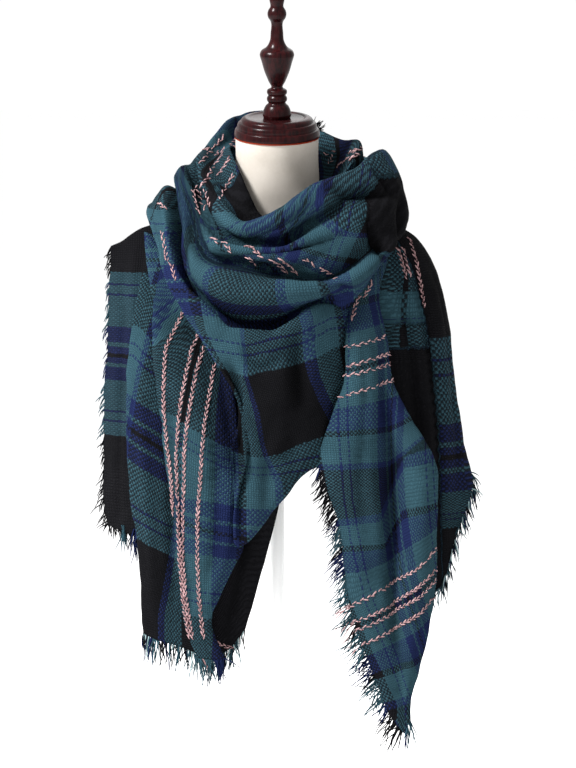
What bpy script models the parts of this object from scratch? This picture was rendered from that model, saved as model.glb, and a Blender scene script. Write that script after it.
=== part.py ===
"""A blanket scarf worn on a limbless dress form.

The scarf is one square of woven wool, folded corner to corner and wound round the neck: a loose
cowl, a pointed apron in front, a tail on the wearer's left and panels over both shoulders and the
back. It rests on a short linen bust with a turned wooden neck cap and finial, on a steel pole and
base. Millimetres in the tables, metres in the model. +Z is up and -Y is the front; the tables give
a point as (x, height, out), where out is how far it lies in front of the neck's upright axis.
"""
import math

import bmesh
import bpy
import numpy as np
from mathutils import Matrix, Vector
from mathutils.bvhtree import BVHTree

MM = 0.001
CLOTH = 2.0                 # wall of the brushed wool, nap included
SEAM = 0.4                  # gap left between pieces that touch
SETTLE_LIMIT = 24.0         # farthest a stretch is slid to come to rest
SETTLE_STEP = 1.0
CAP_TILT = math.radians(10.6)     # the neck leans forward, and the cap and finial with it
CAP_SEAT = (0.0, 934.0, 15.0)     # centre of the neck's top, where the cap sits

# The bust, ring by ring: height, half width, depth in front, depth behind
BUST_RINGS = (
    (500, 108, 82, 72),
    (540, 116, 88, 78),
    (600, 128, 94, 84),
    (660, 142, 96, 88),
    (710, 156, 90, 88),
    (748, 170, 80, 84),
    (775, 174, 66, 78),
    (795, 168, 60, 72),
    (812, 146, 56, 66),
    (828, 106, 54, 61),
    (844, 76, 55, 57),
    (862, 61, 58, 55),
    (890, 57, 62, 50),
)
NECK_RADIUS = 56.5

# Turned profiles: radius, height above the seat
CAP_PROFILE = (
    (57.5, 0.3), (58.4, 3), (58.0, 8), (56.6, 12), (54.6, 12.8), (54.2, 17), (51.8, 21.4), (49.6, 22),
    (49.0, 24.4), (45.6, 27.6), (42.6, 28.4), (36, 27.0),
)
FINIAL_PROFILE = (
    (18.2, 27.3), (19.4, 31), (18.6, 37), (15.4, 44), (11.6, 48.6), (13.4, 51), (13.4, 56), (11.8, 58.4),
    (13.4, 61), (13.4, 65.4), (8.0, 69.2), (11.6, 78), (17.2, 92), (21.2, 106), (22.0, 108.6),
    (23.4, 115), (21.6, 119.6), (14.4, 125), (9.6, 134), (8.6, 144), (8.9, 161), (11.8, 165.4),
    (12.9, 170.6), (11.6, 176), (9.3, 179.6), (9.3, 193.4), (8.6, 194.2),
)
POLE_RADIUS = 10.0
BASE_PROFILE = (
    (149.0, 0.0), (150.0, 1.2), (150.0, 6.4), (147.6, 8.6), (60, 11.4), (26, 12.4), (24, 22.0), (21.4, 24.0),
)
POLE_PROFILE = (
    (16, 24.3), (16, 34), (POLE_RADIUS, 37), (POLE_RADIUS, 474), (18, 478), (34, 494.7), (34, 499.7),
)

# The cowl, a line for each fold from its foot at the neck to the pocket above the swag.
# Places along a line: behind the wearer's right shoulder, over it, round the front, over the left
# shoulder and behind it.
COWL = {
    "foot": [(-63, 922, -12), (-62, 914, 16), (-52, 892, 46), (-40, 862, 64), (-24, 832, 74), (2, 812, 86),
             (36, 822, 82), (70, 842, 66), (98, 856, 44), (120, 862, 8), (124, 860, -36), (104, 862, -94)],
    "inside": [(-80, 912, -19), (-82, 896, 20), (-68, 872, 58), (-52, 838, 86), (-38, 812, 106), (4, 814, 114),
               (46, 842, 98), (86, 860, 82), (112, 876, 56), (130, 884, 6), (133, 880, -38), (110, 882, -98)],
    "rim": [(-98, 918, -20), (-104, 910, 15), (-104, 888, 55), (-80, 850, 100), (-46, 820, 132), (5, 842, 137),
            (52, 872, 116), (106, 892, 84), (134, 912, 46), (146, 914, 4), (144, 907, -40), (117, 902, -103)],
    "upper_roll": [(-110, 905, -23), (-115, 900, 22), (-107, 874, 68), (-86, 832, 114), (-46, 806, 147),
                   (5, 820, 155), (54, 846, 141), (118, 868, 104), (150, 888, 58), (161, 893, 8),
                   (156, 886, -44), (126, 890, -108)],
    "first_crease": [(-116, 897, -25), (-119, 892, 28), (-104, 858, 79), (-84, 812, 125), (-38, 796, 149),
                     (6, 797, 152), (50, 817, 141), (122, 848, 111), (157, 868, 64), (169, 876, 8),
                     (161, 870, -47), (131, 876, -112)],
    "middle_roll": [(-121, 891, -27), (-126, 893, 24), (-115, 848, 84), (-92, 793, 136), (-44, 782, 160),
                    (6, 784, 165), (60, 796, 154), (128, 826, 120), (163, 850, 68), (173, 860, 6),
                    (165, 856, -49), (135, 864, -114)],
    "lower_crease": [(-125, 886, -29), (-132, 892, 20), (-124, 842, 79), (-99, 779, 131), (-46, 765, 154),
                     (6, 754, 157), (64, 750, 150), (123, 784, 130), (165, 830, 74), (176, 846, 5),
                     (167, 845, -50), (137, 852, -114)],
    "big_roll": [(-130, 880, -30), (-138, 887, 18), (-131, 832, 78), (-112, 763, 134), (-62, 736, 164),
                 (4, 732, 173), (70, 737, 163), (122, 758, 146), (166, 802, 90), (178, 832, 4),
                 (168, 834, -50), (137, 838, -110)],
    "underside": [(-133, 873, -29), (-141, 880, 15), (-136, 826, 71), (-118, 759, 120), (-70, 710, 146),
                  (0, 703, 150), (62, 728, 145), (111, 740, 136), (161, 793, 88), (176, 822, 3),
                  (165, 825, -48), (134, 822, -104)],
    "pocket": [(-132, 865, -27), (-138, 872, 12), (-131, 819, 62), (-109, 745, 105), (-66, 681, 130),
               (-6, 671, 134), (54, 716, 132), (96, 723, 129), (150, 787, 86), (168, 814, 2),
               (158, 817, -43), (129, 812, -98)],
}

# The collar behind the neck, the same bands carried on round the back. Places along a line: inside
# the left of the cowl, then round behind the neck to where the cowl begins.
COLLAR = {
    "foot": [(70, 852, 34), (70, 864, -2), (58, 868, -34), (36, 872, -52), (0, 880, -62), (-34, 902, -55),
             (-57, 919, -38), (-63, 922, -14)],
    "inside": [(78, 866, 33), (84, 890, -6), (72, 896, -42), (40, 914, -68), (0, 926, -76), (-38, 934, -70),
               (-65, 928, -47), (-80, 912, -21)],
    "rim": [(100, 898, 28), (110, 928, -10), (88, 929, -54), (56, 940, -78), (4, 965, -92), (-38, 966, -84),
            (-68, 956, -56), (-98, 918, -22)],
    "outer": [(108, 880, 22), (121, 900, -14), (101, 902, -72), (58, 914, -104), (0, 920, -116),
              (-48, 922, -106), (-88, 912, -74), (-119, 893, -30)],
    "lower": [(103, 856, 15), (112, 864, -20), (102, 864, -84), (62, 860, -118), (0, 860, -130),
              (-58, 862, -122), (-106, 866, -88), (-132, 866, -31)],
}

# The swag that hangs below the cowl, a line for each part from the pocket out over its lip to its edge
SWAG = {
    "behind_shoulder": [(-128, 857, -28), (-141, 857, -36), (-147, 850, -37), (-152, 842, -36), (-156, 833, -31),
                        (-153, 827, -25)],
    "shoulder": [(-136, 861, 10), (-151, 866, 14), (-160, 856, 12), (-168, 845, 9), (-173, 833, 3),
                 (-168, 827, -3)],
    "upper_ridge": [(-127, 798, 52), (-147, 811, 79), (-153, 808, 80), (-159, 803, 74), (-160, 796, 64),
                    (-154, 791, 57)],
    "ridge": [(-105, 722, 93), (-126, 741, 130), (-131, 737, 133), (-136, 732, 129), (-137, 725, 118),
              (-131, 721, 111)],
    "lower_ridge": [(-81, 688, 107), (-94, 706, 150), (-99, 698, 155), (-106, 688, 151), (-108, 680, 141),
                    (-102, 676, 134)],
    "ridge_end": [(-64, 664, 121), (-68, 684, 162), (-70, 668, 166), (-73, 645, 163), (-73, 622, 154),
                  (-67, 617, 148)],
    "soft_crease": [(-44, 655, 123), (-46, 679, 167), (-47, 640, 171), (-50, 600, 168), (-52, 556, 158),
                    (-47, 552, 149)],
    "dark_stripe": [(-25, 651, 125), (-26, 676, 170), (-30, 605, 172), (-40, 500, 163), (-50, 388, 151),
                    (-47, 392, 142)],
    "middle": [(-4, 651, 125), (-4, 676, 171), (-4, 600, 172), (-11, 510, 162), (-21, 417, 150), (-19, 421, 141)],
    "beside": [(28, 663, 123), (26, 694, 167), (24, 615, 168), (18, 540, 159), (10, 455, 148), (12, 460, 139)],
    "near_tail": [(56, 684, 115), (55, 711, 158), (56, 640, 156), (52, 568, 149), (43, 490, 141), (44, 496, 132)],
    "under_tail": [(100, 694, 92), (106, 702, 104), (110, 650, 112), (106, 574, 114), (92, 500, 114),
                   (90, 507, 108)],
}

# The front apron, a line down its folded left edge, its middle and its right edge
APRON = {
    "left_turn": [(-168, 802, 32), (-168, 768, 50), (-161, 716, 76), (-157, 655, 96), (-148, 569, 116),
                  (-141, 506, 124), (-130, 442, 129), (-125, 371, 131), (-116, 320, 130), (-113, 278, 128),
                  (-100, 240, 125)],
    "left_edge": [(-178, 806, 40), (-176, 770, 58), (-169, 716, 84), (-166, 655, 104), (-157, 569, 124),
                  (-150, 506, 132), (-139, 442, 137), (-134, 371, 139), (-125, 320, 138), (-122, 278, 135),
                  (-106, 236, 131)],
    "pink_bands": [(-164, 794, 44), (-161, 764, 68), (-150, 708, 94), (-138, 650, 114), (-130, 569, 134),
                   (-126, 506, 142), (-118, 442, 146), (-114, 371, 147), (-112, 320, 145), (-112, 278, 141),
                   (-98, 234, 136)],
    "middle": [(-150, 786, 46), (-144, 758, 73), (-126, 700, 100), (-108, 648, 122), (-96, 569, 139),
               (-90, 506, 146), (-86, 442, 148), (-88, 371, 149), (-100, 320, 146), (-103, 278, 142),
               (-88, 233, 137)],
    "right_edge": [(-138, 779, 52), (-127, 748, 74), (-104, 690, 100), (-76, 645, 124), (-58, 569, 136),
                   (-54, 506, 137), (-53, 442, 135), (-54, 374, 132), (-78, 320, 138), (-93, 280, 140),
                   (-76, 233, 135)],
    "right_turn": [(-131, 774, 49), (-121, 743, 68), (-97, 686, 94), (-69, 642, 118), (-51, 569, 130),
                   (-47, 506, 131), (-46, 442, 129), (-48, 380, 126), (-80, 324, 132), (-90, 281, 135),
                   (-73, 234, 130)],
}

# The layer under the apron, a line down from the shoulder to the fringed hem for each fold
UNDER_APRON = {
    "left_turn": [(-172, 750, 36), (-189, 656, 60), (-193, 560, 74), (-189, 467, 80), (-176, 366, 84),
                  (-171, 266, 85)],
    "left_edge": [(-182, 752, 42), (-199, 656, 68), (-203, 560, 82), (-199, 467, 88), (-186, 366, 92),
                  (-180, 264, 93)],
    "left_roll": [(-166, 746, 46), (-180, 654, 80), (-184, 560, 98), (-180, 467, 106), (-170, 366, 110),
                  (-164, 256, 110)],
    "left_middle": [(-148, 736, 54), (-152, 640, 84), (-148, 560, 102), (-144, 467, 112), (-140, 366, 115),
                    (-136, 248, 114)],
    "middle": [(-118, 712, 74), (-115, 630, 98), (-110, 560, 112), (-106, 467, 120), (-102, 366, 122),
               (-98, 236, 117)],
    "right_middle": [(-74, 660, 104), (-66, 600, 114), (-60, 540, 121), (-56, 467, 124), (-62, 366, 122),
                     (-70, 240, 115)],
    "right_edge": [(-10, 640, 108), (0, 590, 114), (8, 530, 118), (4, 450, 118), (-15, 371, 114),
                   (-43, 270, 108)],
}

# The left panel that lies over the shoulder and hangs beside the arm line
LEFT_FALL = {
    "outer_edge": [(-227, 784, -15), (-228, 726, -12), (-231, 653, -8), (-235, 575, -4), (-236, 507, -1),
                   (-237, 440, 1), (-232, 402, 3)],
    "outer": [(-214, 790, -8), (-216, 730, 3), (-219, 653, 12), (-222, 575, 18), (-222, 507, 22), (-221, 440, 24),
              (-217, 398, 25)],
    "middle": [(-201, 799, -1), (-202, 738, 15), (-205, 655, 28), (-207, 575, 35), (-207, 507, 41), (-205, 438, 44),
               (-202, 394, 44)],
    "inner": [(-185, 809, 4), (-187, 746, 22), (-190, 655, 42), (-192, 575, 51), (-190, 507, 56), (-188, 438, 58),
              (-186, 390, 58)],
    "inner_edge": [(-169, 815, 8), (-172, 752, 30), (-176, 655, 46), (-178, 575, 56), (-176, 507, 62),
                   (-174, 438, 65), (-172, 386, 65)],
}

# The tail on the wearer's left, a line down each fold from under the cowl to the tip
TAIL = {
    "left_edge": [(100, 766, 86), (98, 716, 116), (93, 660, 142), (91, 612, 147), (74, 562, 149), (58, 505, 148),
                  (70, 458, 146), (82, 424, 144), (91, 357, 143), (101, 297, 142), (129, 218, 138), (153, 160, 134),
                  (172, 133, 131)],
    "left": [(110, 772, 88), (107, 716, 120), (104, 660, 148), (104, 612, 154), (94, 562, 157), (82, 505, 156),
             (90, 458, 154), (100, 424, 152), (109, 355, 150), (118, 293, 148), (141, 217, 143), (158, 160, 138),
             (174, 135, 133)],
    "middle": [(122, 778, 87), (118, 716, 120), (118, 660, 146), (122, 612, 152), (120, 560, 155), (118, 505, 154),
               (120, 458, 152), (126, 422, 150), (131, 353, 147), (138, 290, 145), (154, 216, 141), (164, 162, 137),
               (175, 137, 133)],
    "valley": [(134, 782, 82), (127, 715, 113), (133, 660, 134), (140, 612, 138), (146, 560, 138), (152, 505, 135),
               (154, 458, 134), (155, 420, 134), (155, 350, 136), (157, 288, 138), (166, 218, 138), (170, 165, 136),
               (176, 141, 133)],
    "ridge": [(144, 784, 76), (133, 714, 106), (143, 658, 126), (150, 610, 131), (166, 558, 140), (186, 503, 148),
              (190, 456, 150), (191, 418, 151), (189, 349, 150), (184, 290, 147), (180, 222, 142), (175, 171, 138),
              (177, 145, 134)],
    "right_edge": [(150, 784, 68), (137, 713, 97), (148, 656, 118), (154, 608, 122), (180, 556, 128),
                   (211, 503, 136), (217, 456, 138), (218, 416, 138), (216, 348, 137), (207, 292, 135),
                   (192, 226, 133), (180, 180, 132), (178, 149, 131)],
    "right_turn": [(146, 782, 62), (133, 711, 90), (143, 654, 110), (149, 606, 114), (173, 554, 119),
                   (202, 501, 126), (208, 454, 128), (209, 414, 128), (207, 348, 128), (199, 294, 127),
                   (186, 228, 127), (177, 184, 127), (176, 153, 127)],
}

# The right panel over the shoulder, a line down each fold
RIGHT_FALL = {
    "inner_edge": [(104, 812, 40), (106, 762, 64), (112, 690, 84), (120, 596, 92), (128, 491, 92), (136, 400, 90),
                   (148, 336, 88)],
    "inner": [(118, 819, 34), (150, 776, 56), (170, 690, 80), (182, 590, 88), (188, 491, 88), (192, 400, 86),
              (196, 330, 84)],
    "crease": [(128, 822, 22), (168, 784, 44), (196, 706, 62), (212, 600, 70), (219, 491, 74), (221, 400, 75),
               (221, 324, 75)],
    "outer_roll": [(136, 823, 6), (182, 790, 26), (214, 712, 48), (228, 610, 56), (236, 510, 57), (239, 440, 57),
                   (240, 384, 57)],
    "silhouette": [(140, 823, -10), (192, 792, -2), (227, 712, 6), (239, 625, 10), (251, 540, 14), (258, 498, 16),
                   (266, 464, 18)],
    "side_back": [(138, 822, -27), (190, 790, -28), (222, 712, -34), (232, 625, -38), (240, 550, -40),
                  (244, 516, -40), (246, 490, -40)],
}

# The panel down the back, a line down each fold from under the collar to the fringed hem
BACK_FALL = {
    "right_edge": [(132, 819, -32), (183, 784, -36), (214, 712, -42), (224, 625, -46), (232, 560, -48),
                   (237, 500, -48)],
    "right_roll": [(112, 828, -62), (150, 792, -82), (176, 712, -100), (186, 625, -106), (190, 560, -108),
                   (192, 506, -108)],
    "right_valley": [(72, 838, -70), (92, 794, -90), (106, 712, -102), (112, 625, -104), (114, 560, -104),
                     (116, 510, -104)],
    "right_ridge": [(34, 844, -78), (42, 796, -106), (46, 712, -126), (48, 625, -130), (50, 560, -130),
                    (50, 514, -128)],
    "centre": [(-4, 845, -76), (-4, 796, -96), (-5, 712, -108), (-6, 625, -110), (-6, 560, -109),
               (-6, 516, -108)],
    "left_ridge": [(-42, 842, -76), (-52, 796, -106), (-58, 712, -124), (-62, 625, -128), (-64, 560, -128),
                   (-66, 514, -126)],
    "left_valley": [(-80, 834, -68), (-102, 792, -90), (-118, 712, -100), (-126, 625, -102), (-130, 560, -102),
                    (-132, 508, -102)],
    "left_roll": [(-122, 824, -50), (-160, 784, -66), (-184, 712, -72), (-190, 625, -76), (-194, 560, -78),
                  (-196, 500, -78)],
    "left_edge": [(-148, 819, -14), (-188, 778, -10), (-206, 712, -4), (-211, 625, 0), (-214, 560, 2),
                  (-216, 494, 2)],
}

# Troughs and ridges pressed into a stretch: a path of (line, place) numbers, width, height
COWL_FOLDS = (
    ([(4.5, 1.7), (5.0, 2.4), (5.3, 3.0)], 7, -6),
    ([(5.4, 3.4), (5.6, 4.4), (5.6, 5.4), (5.2, 6.3)], 7, -5),
    ([(7.0, 7.5), (6.0, 7.2), (5.0, 6.9)], 9, -7),
    ([(2.4, 6.2), (3.4, 6.9), (4.2, 7.7)], 9, -7),
)
SWAG_FOLDS = (
    ([(5.2, 3.0), (6.0, 3.6), (6.2, 4.2)], 9, -6),
    ([(9.0, 1.4), (9.3, 2.6)], 12, -7),
)

# Fringe
STRIP_WIDTH = 3.0
STRAND_SWAY = 0.13          # how far a strand leans to one side, over its length
LENGTH_SPREAD = 0.18        # how much shorter than the rest the shortest strand is
TIP_SHARE = 0.35            # a strand's width at its tip over its width at the root
CREST_LIFT = 0.25           # a strip on top of a rounded fold stands this much higher


def remove_everything():
    for item in list(bpy.data.objects):
        bpy.data.objects.remove(item, do_unlink=True)


def finish(name, colour, roughness, metallic=0.0):
    """A plain material, one for each piece."""
    material = bpy.data.materials.new(name)
    material.use_nodes = True
    shader = material.node_tree.nodes["Principled BSDF"]
    shader.inputs["Base Color"].default_value = (*colour, 1.0)
    shader.inputs["Roughness"].default_value = roughness
    shader.inputs["Metallic"].default_value = metallic
    return material


def add_piece(name, points, faces, material, smooth=True):
    mesh = bpy.data.meshes.new(name)
    mesh.from_pydata([tuple(point) for point in points], [], faces)
    mesh.update()
    if smooth:
        mesh.shade_smooth()
    mesh.materials.append(material)
    piece = bpy.data.objects.new(name, mesh)
    bpy.context.collection.objects.link(piece)
    return piece


def knot_places(points, axis):
    """Running distance from line to line (axis 0) or place to place (axis 1), averaged."""
    steps = np.linalg.norm(np.diff(points, axis=axis), axis=2).mean(axis=1 - axis)
    return np.concatenate([[0.0], np.cumsum(steps)])


def sample_places(knots, step):
    """Every knot, with even steps of about the given length between them."""
    places = [0.0]
    for low, high in zip(knots[:-1], knots[1:]):
        count = max(1, round((high - low) / step))
        places.extend(low + (high - low) * (k + 1) / count for k in range(count))
    return np.array(places)


def curve_weights(knots, places):
    """Weights of the knots at each place, for a smooth curve that passes through all of them."""
    count = len(knots)
    slopes = np.zeros((count, count))
    for k in range(count):
        low, high = max(k - 1, 0), min(k + 1, count - 1)
        if low < k < high:
            before, after = knots[k] - knots[low], knots[high] - knots[k]
            slopes[k, low] = -after / (before * (before + after))
            slopes[k, high] = before / (after * (before + after))
            slopes[k, k] = -slopes[k, low] - slopes[k, high]
        else:
            slopes[k, low] = -1.0 / (knots[high] - knots[low])
            slopes[k, high] = 1.0 / (knots[high] - knots[low])
    weights = np.zeros((len(places), count))
    for row, place in enumerate(places):
        k = int(np.clip(np.searchsorted(knots, place, side="right") - 1, 0, count - 2))
        span = knots[k + 1] - knots[k]
        t = (place - knots[k]) / span
        weights[row, k] += 2 * t**3 - 3 * t**2 + 1
        weights[row, k + 1] += 3 * t**2 - 2 * t**3
        weights[row] += (t**3 - 2 * t**2 + t) * span * slopes[k]
        weights[row] += (t**3 - t**2) * span * slopes[k + 1]
    return weights


def surface_normals(grid):
    """Unit normals of a grid of points, pointing to the cloth's outer side."""
    across = np.gradient(grid, axis=0)
    along = np.gradient(grid, axis=1)
    normal = np.cross(across, along)
    return normal / np.linalg.norm(normal, axis=2, keepdims=True)


def fold_depth(distance, width):
    return np.exp(-(distance / width) ** 2)


def stretch(table, across_step, along_step, folds=(), flip=False):
    """A stretch of cloth lofted through its fold lines: outer points and normals, in millimetres."""
    points = np.array([[(x, -out, height) for x, height, out in line] for line in table.values()])
    across, along = knot_places(points, 0), knot_places(points, 1)
    across_weights = curve_weights(across, sample_places(across, across_step))
    along_weights = curve_weights(along, sample_places(along, along_step))
    grid = np.einsum("ai,dj,ijk->adk", across_weights, along_weights, points)
    side = -1.0 if flip else 1.0
    relief = np.zeros(grid.shape[:2])
    for path, width, height in folds:
        path = np.array(path)
        steps = np.linspace(0, len(path) - 1, 12 * len(path))
        line_numbers = np.interp(steps, range(len(path)), path[:, 0])
        place_numbers = np.interp(steps, range(len(path)), path[:, 1])
        line_weights = curve_weights(across, np.interp(line_numbers, range(len(across)), across))
        place_weights = curve_weights(along, np.interp(place_numbers, range(len(along)), along))
        trail = np.einsum("ai,aj,ijk->ak", line_weights, place_weights, points)
        taper = np.sin(np.linspace(0, math.pi, len(trail))) ** 0.5
        distance = np.linalg.norm(grid[:, :, None, :] - trail, axis=3)
        relief += height * (fold_depth(distance, width) * taper).max(axis=2)
    grid = grid + side * surface_normals(grid) * relief[:, :, None]
    return grid, side * surface_normals(grid)


def cloth_wall(name, sheet, material):
    """A closed wall of cloth behind the outer points of a stretch."""
    outer, normals = sheet
    inner = outer - normals * CLOTH
    rows, columns = outer.shape[:2]
    half = rows * columns
    points = np.concatenate([outer.reshape(-1, 3), inner.reshape(-1, 3)]) * MM
    faces = []
    for i in range(rows - 1):
        for j in range(columns - 1):
            a, b = i * columns + j, (i + 1) * columns + j
            faces.append((a, b, b + 1, a + 1))
            faces.append((half + a, half + a + 1, half + b + 1, half + b))
    border = [(i, 0) for i in range(rows - 1)] + [(rows - 1, j) for j in range(columns - 1)]
    border += [(i, columns - 1) for i in range(rows - 1, 0, -1)] + [(0, j) for j in range(columns - 1, 0, -1)]
    for (i, j), (k, m) in zip(border, border[1:] + border[:1]):
        a, b = i * columns + j, k * columns + m
        faces.append((b, a, half + a, half + b))
    piece = add_piece(name, points, faces, material)
    shell = bmesh.new()
    shell.from_mesh(piece.data)
    bmesh.ops.recalc_face_normals(shell, faces=shell.faces)
    shell.to_mesh(piece.data)
    shell.free()
    return piece


def settle(piece, sheet, push, neighbours):
    """Slides a stretch of cloth toward its neighbours until it rests on the nearest, a seam's width off."""
    faces = [tuple(face.vertices) for face in piece.data.polygons]
    points = [vert.co.copy() for vert in piece.data.vertices]
    push = Vector(push)
    fixed = []
    for other in neighbours:
        other_points = [vert.co.copy() for vert in other.data.vertices]
        other_faces = [tuple(face.vertices) for face in other.data.polygons]
        fixed.append((BVHTree.FromPolygons(other_points, other_faces), other_points))

    def is_clear(way):
        moved = [point + push * way for point in points]
        wall = BVHTree.FromPolygons(moved, faces)
        for other, other_points in fixed:
            if wall.overlap(other):
                return False
            if any(other.find_nearest(point, SEAM * MM)[0] is not None for point in moved):
                return False
            if any(wall.find_nearest(point, SEAM * MM)[0] is not None for point in other_points):
                return False
        return True

    free = 0.0
    while free < SETTLE_LIMIT * MM and is_clear(free + SETTLE_STEP * MM):
        free += SETTLE_STEP * MM
    low, high = free, free + SETTLE_STEP * MM
    for _ in range(6):
        middle = (low + high) / 2
        low, high = (middle, high) if is_clear(middle) else (low, middle)
    piece.data.transform(Matrix.Translation(push * low))
    piece.data.update()
    outer, normals = sheet
    return outer + np.array(push) * low / MM, normals


def edge_of(sheet, side, below=None):
    """Points along one side of a stretch, the way out of the cloth there, and the normals."""
    grid, normals = sheet
    if side == "first_line":
        edge, before, up = grid[0], grid[1], normals[0]
    else:
        edge, before, up = grid[:, -1], grid[:, -2], normals[:, -1]
    away = np.cross(np.gradient(edge, axis=0), up)
    away *= np.sign(np.sum(away * (edge - before), axis=1, keepdims=True))
    away /= np.linalg.norm(away, axis=1, keepdims=True)
    if below is not None:
        low = edge[:, 2] < below
        edge, away, up = edge[low], away[low], up[low]
    return edge, away, up


def crest_of(sheet, row, first, last):
    """A short run along the top of a fold, pointing up out of it, with the normals lying level."""
    grid, normals = sheet
    away = normals[row, first:last]
    edge = grid[row, first:last] + away * CREST_LIFT
    along = np.gradient(edge, axis=0)
    level = np.cross(along, away)
    return edge, away, level / np.linalg.norm(level, axis=1, keepdims=True)


def fringe(name, edge, per_span, length, fall, material):
    """Strands on a narrow strip that lies just off the cloth's edge.

    Each span between two edge points carries per_span strands. With fall 0 a strand runs straight out
    from the edge, and with fall 1 it hangs straight down.
    """
    points, away, normals = edge
    verts = []
    faces = []
    spans = []
    for k in range(len(points) - 1):
        cuts = np.linspace(0, 1, 2 * per_span + 2)
        spans.extend((k, cut) for cut in cuts[:-1])
    spans.append((len(points) - 2, 1.0))
    for k, cut in spans:
        edge_point = points[k] * (1 - cut) + points[k + 1] * cut
        run = away[k] * (1 - cut) + away[k + 1] * cut
        run /= np.linalg.norm(run)
        normal = normals[k] * (1 - cut) + normals[k + 1] * cut
        normal /= np.linalg.norm(normal)
        near = edge_point + run * SEAM
        far = near + run * STRIP_WIDTH
        verts += [near, far, far - normal * CLOTH, near - normal * CLOTH]
    sections = len(spans)
    for k in range(sections - 1):
        a, b = 4 * k, 4 * (k + 1)
        faces.append((a, a + 1, b + 1, b))
        faces.append((a + 2, a + 3, b + 3, b + 2))
        faces.append((a + 3, a, b, b + 3))
        within = k % (2 * per_span + 1)
        if within % 2 == 0:
            faces.append((a + 1, a + 2, b + 2, b + 1))
            continue
        root = [verts[a + 1], verts[a + 2], verts[b + 2], verts[b + 1]]
        centre = sum(root) / 4
        run = verts[a + 1] - verts[a]
        run /= np.linalg.norm(run)
        sway = STRAND_SWAY * math.sin(2.4 * k)
        way = run * (1 - fall) + np.array([sway, sway / 2, -fall])
        way /= np.linalg.norm(way)
        reach = length * (1 - LENGTH_SPREAD * (0.5 + 0.5 * math.sin(1.7 * k)))
        tip = len(verts)
        verts += [centre + way * reach + (corner - centre) * TIP_SHARE for corner in root]
        ring = [a + 1, a + 2, b + 2, b + 1]
        for m in range(4):
            faces.append((ring[m], tip + m, tip + (m + 1) % 4, ring[(m + 1) % 4]))
        faces.append((tip, tip + 1, tip + 2, tip + 3))
    last = 4 * (sections - 1)
    faces.append((0, 3, 2, 1))
    faces.append((last, last + 1, last + 2, last + 3))
    piece = add_piece(name, np.array(verts) * MM, faces, material, smooth=False)
    strands = bmesh.new()
    strands.from_mesh(piece.data)
    bmesh.ops.recalc_face_normals(strands, faces=strands.faces)
    strands.to_mesh(piece.data)
    strands.free()
    return piece


def turned(name, profile, segments, material, seat=(0.0, 0.0, 0.0), tilt=0.0):
    """A piece turned about its own axis, with flat ends, leaning forward by the tilt."""
    x, height, out = seat
    verts = []
    for radius, up in profile:
        for k in range(segments):
            angle = 2 * math.pi * k / segments
            side, front = radius * math.sin(angle), radius * math.cos(angle)
            forward = out + front * math.cos(tilt) + up * math.sin(tilt)
            level = height + up * math.cos(tilt) - front * math.sin(tilt)
            verts.append((MM * (x + side), -MM * forward, MM * level))
    faces = []
    for ring in range(len(profile) - 1):
        for k in range(segments):
            a, b = ring * segments + k, ring * segments + (k + 1) % segments
            faces.append((a, b, b + segments, a + segments))
    top = (len(profile) - 1) * segments
    faces.append(tuple(range(segments))[::-1])
    faces.append(tuple(range(top, top + segments)))
    return add_piece(name, verts, faces, material)


def bust(name, segments, material):
    """The bust, a stack of oval rings that ends in the leaning round top of the neck."""
    verts = []
    for height, half_width, front, behind in BUST_RINGS:
        for k in range(segments):
            angle = 2 * math.pi * k / segments
            depth = front if math.cos(angle) > 0 else behind
            verts.append((MM * half_width * math.sin(angle), -MM * depth * math.cos(angle), MM * height))
    x, height, out = CAP_SEAT
    for k in range(segments):
        angle = 2 * math.pi * k / segments
        side, front = NECK_RADIUS * math.sin(angle), NECK_RADIUS * math.cos(angle)
        forward, level = out + front * math.cos(CAP_TILT), height - front * math.sin(CAP_TILT)
        verts.append((MM * (x + side), -MM * forward, MM * level))
    faces = []
    for ring in range(len(BUST_RINGS)):
        for k in range(segments):
            a, b = ring * segments + k, ring * segments + (k + 1) % segments
            faces.append((a, b, b + segments, a + segments))
    top = len(BUST_RINGS) * segments
    faces.append(tuple(range(segments))[::-1])
    faces.append(tuple(range(top, top + segments)))
    return add_piece(name, verts, faces, material)


def dress_form():
    linen = finish("linen", (0.68, 0.64, 0.56), 0.85)
    mahogany = finish("mahogany", (0.055, 0.012, 0.012), 0.25)
    spindle = finish("turned_mahogany", (0.06, 0.012, 0.014), 0.22)
    painted = finish("white_paint", (0.85, 0.85, 0.85), 0.45)
    base_paint = finish("white_base_paint", (0.85, 0.85, 0.85), 0.45)
    linen_bust = bust("form_bust", 32, linen)
    turned("neck_cap", CAP_PROFILE, 32, mahogany, CAP_SEAT, CAP_TILT)
    turned("finial", FINIAL_PROFILE, 16, spindle, CAP_SEAT, CAP_TILT)
    turned("pole", POLE_PROFILE, 20, painted)
    turned("base", BASE_PROFILE, 32, base_paint)
    return linen_bust


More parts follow.
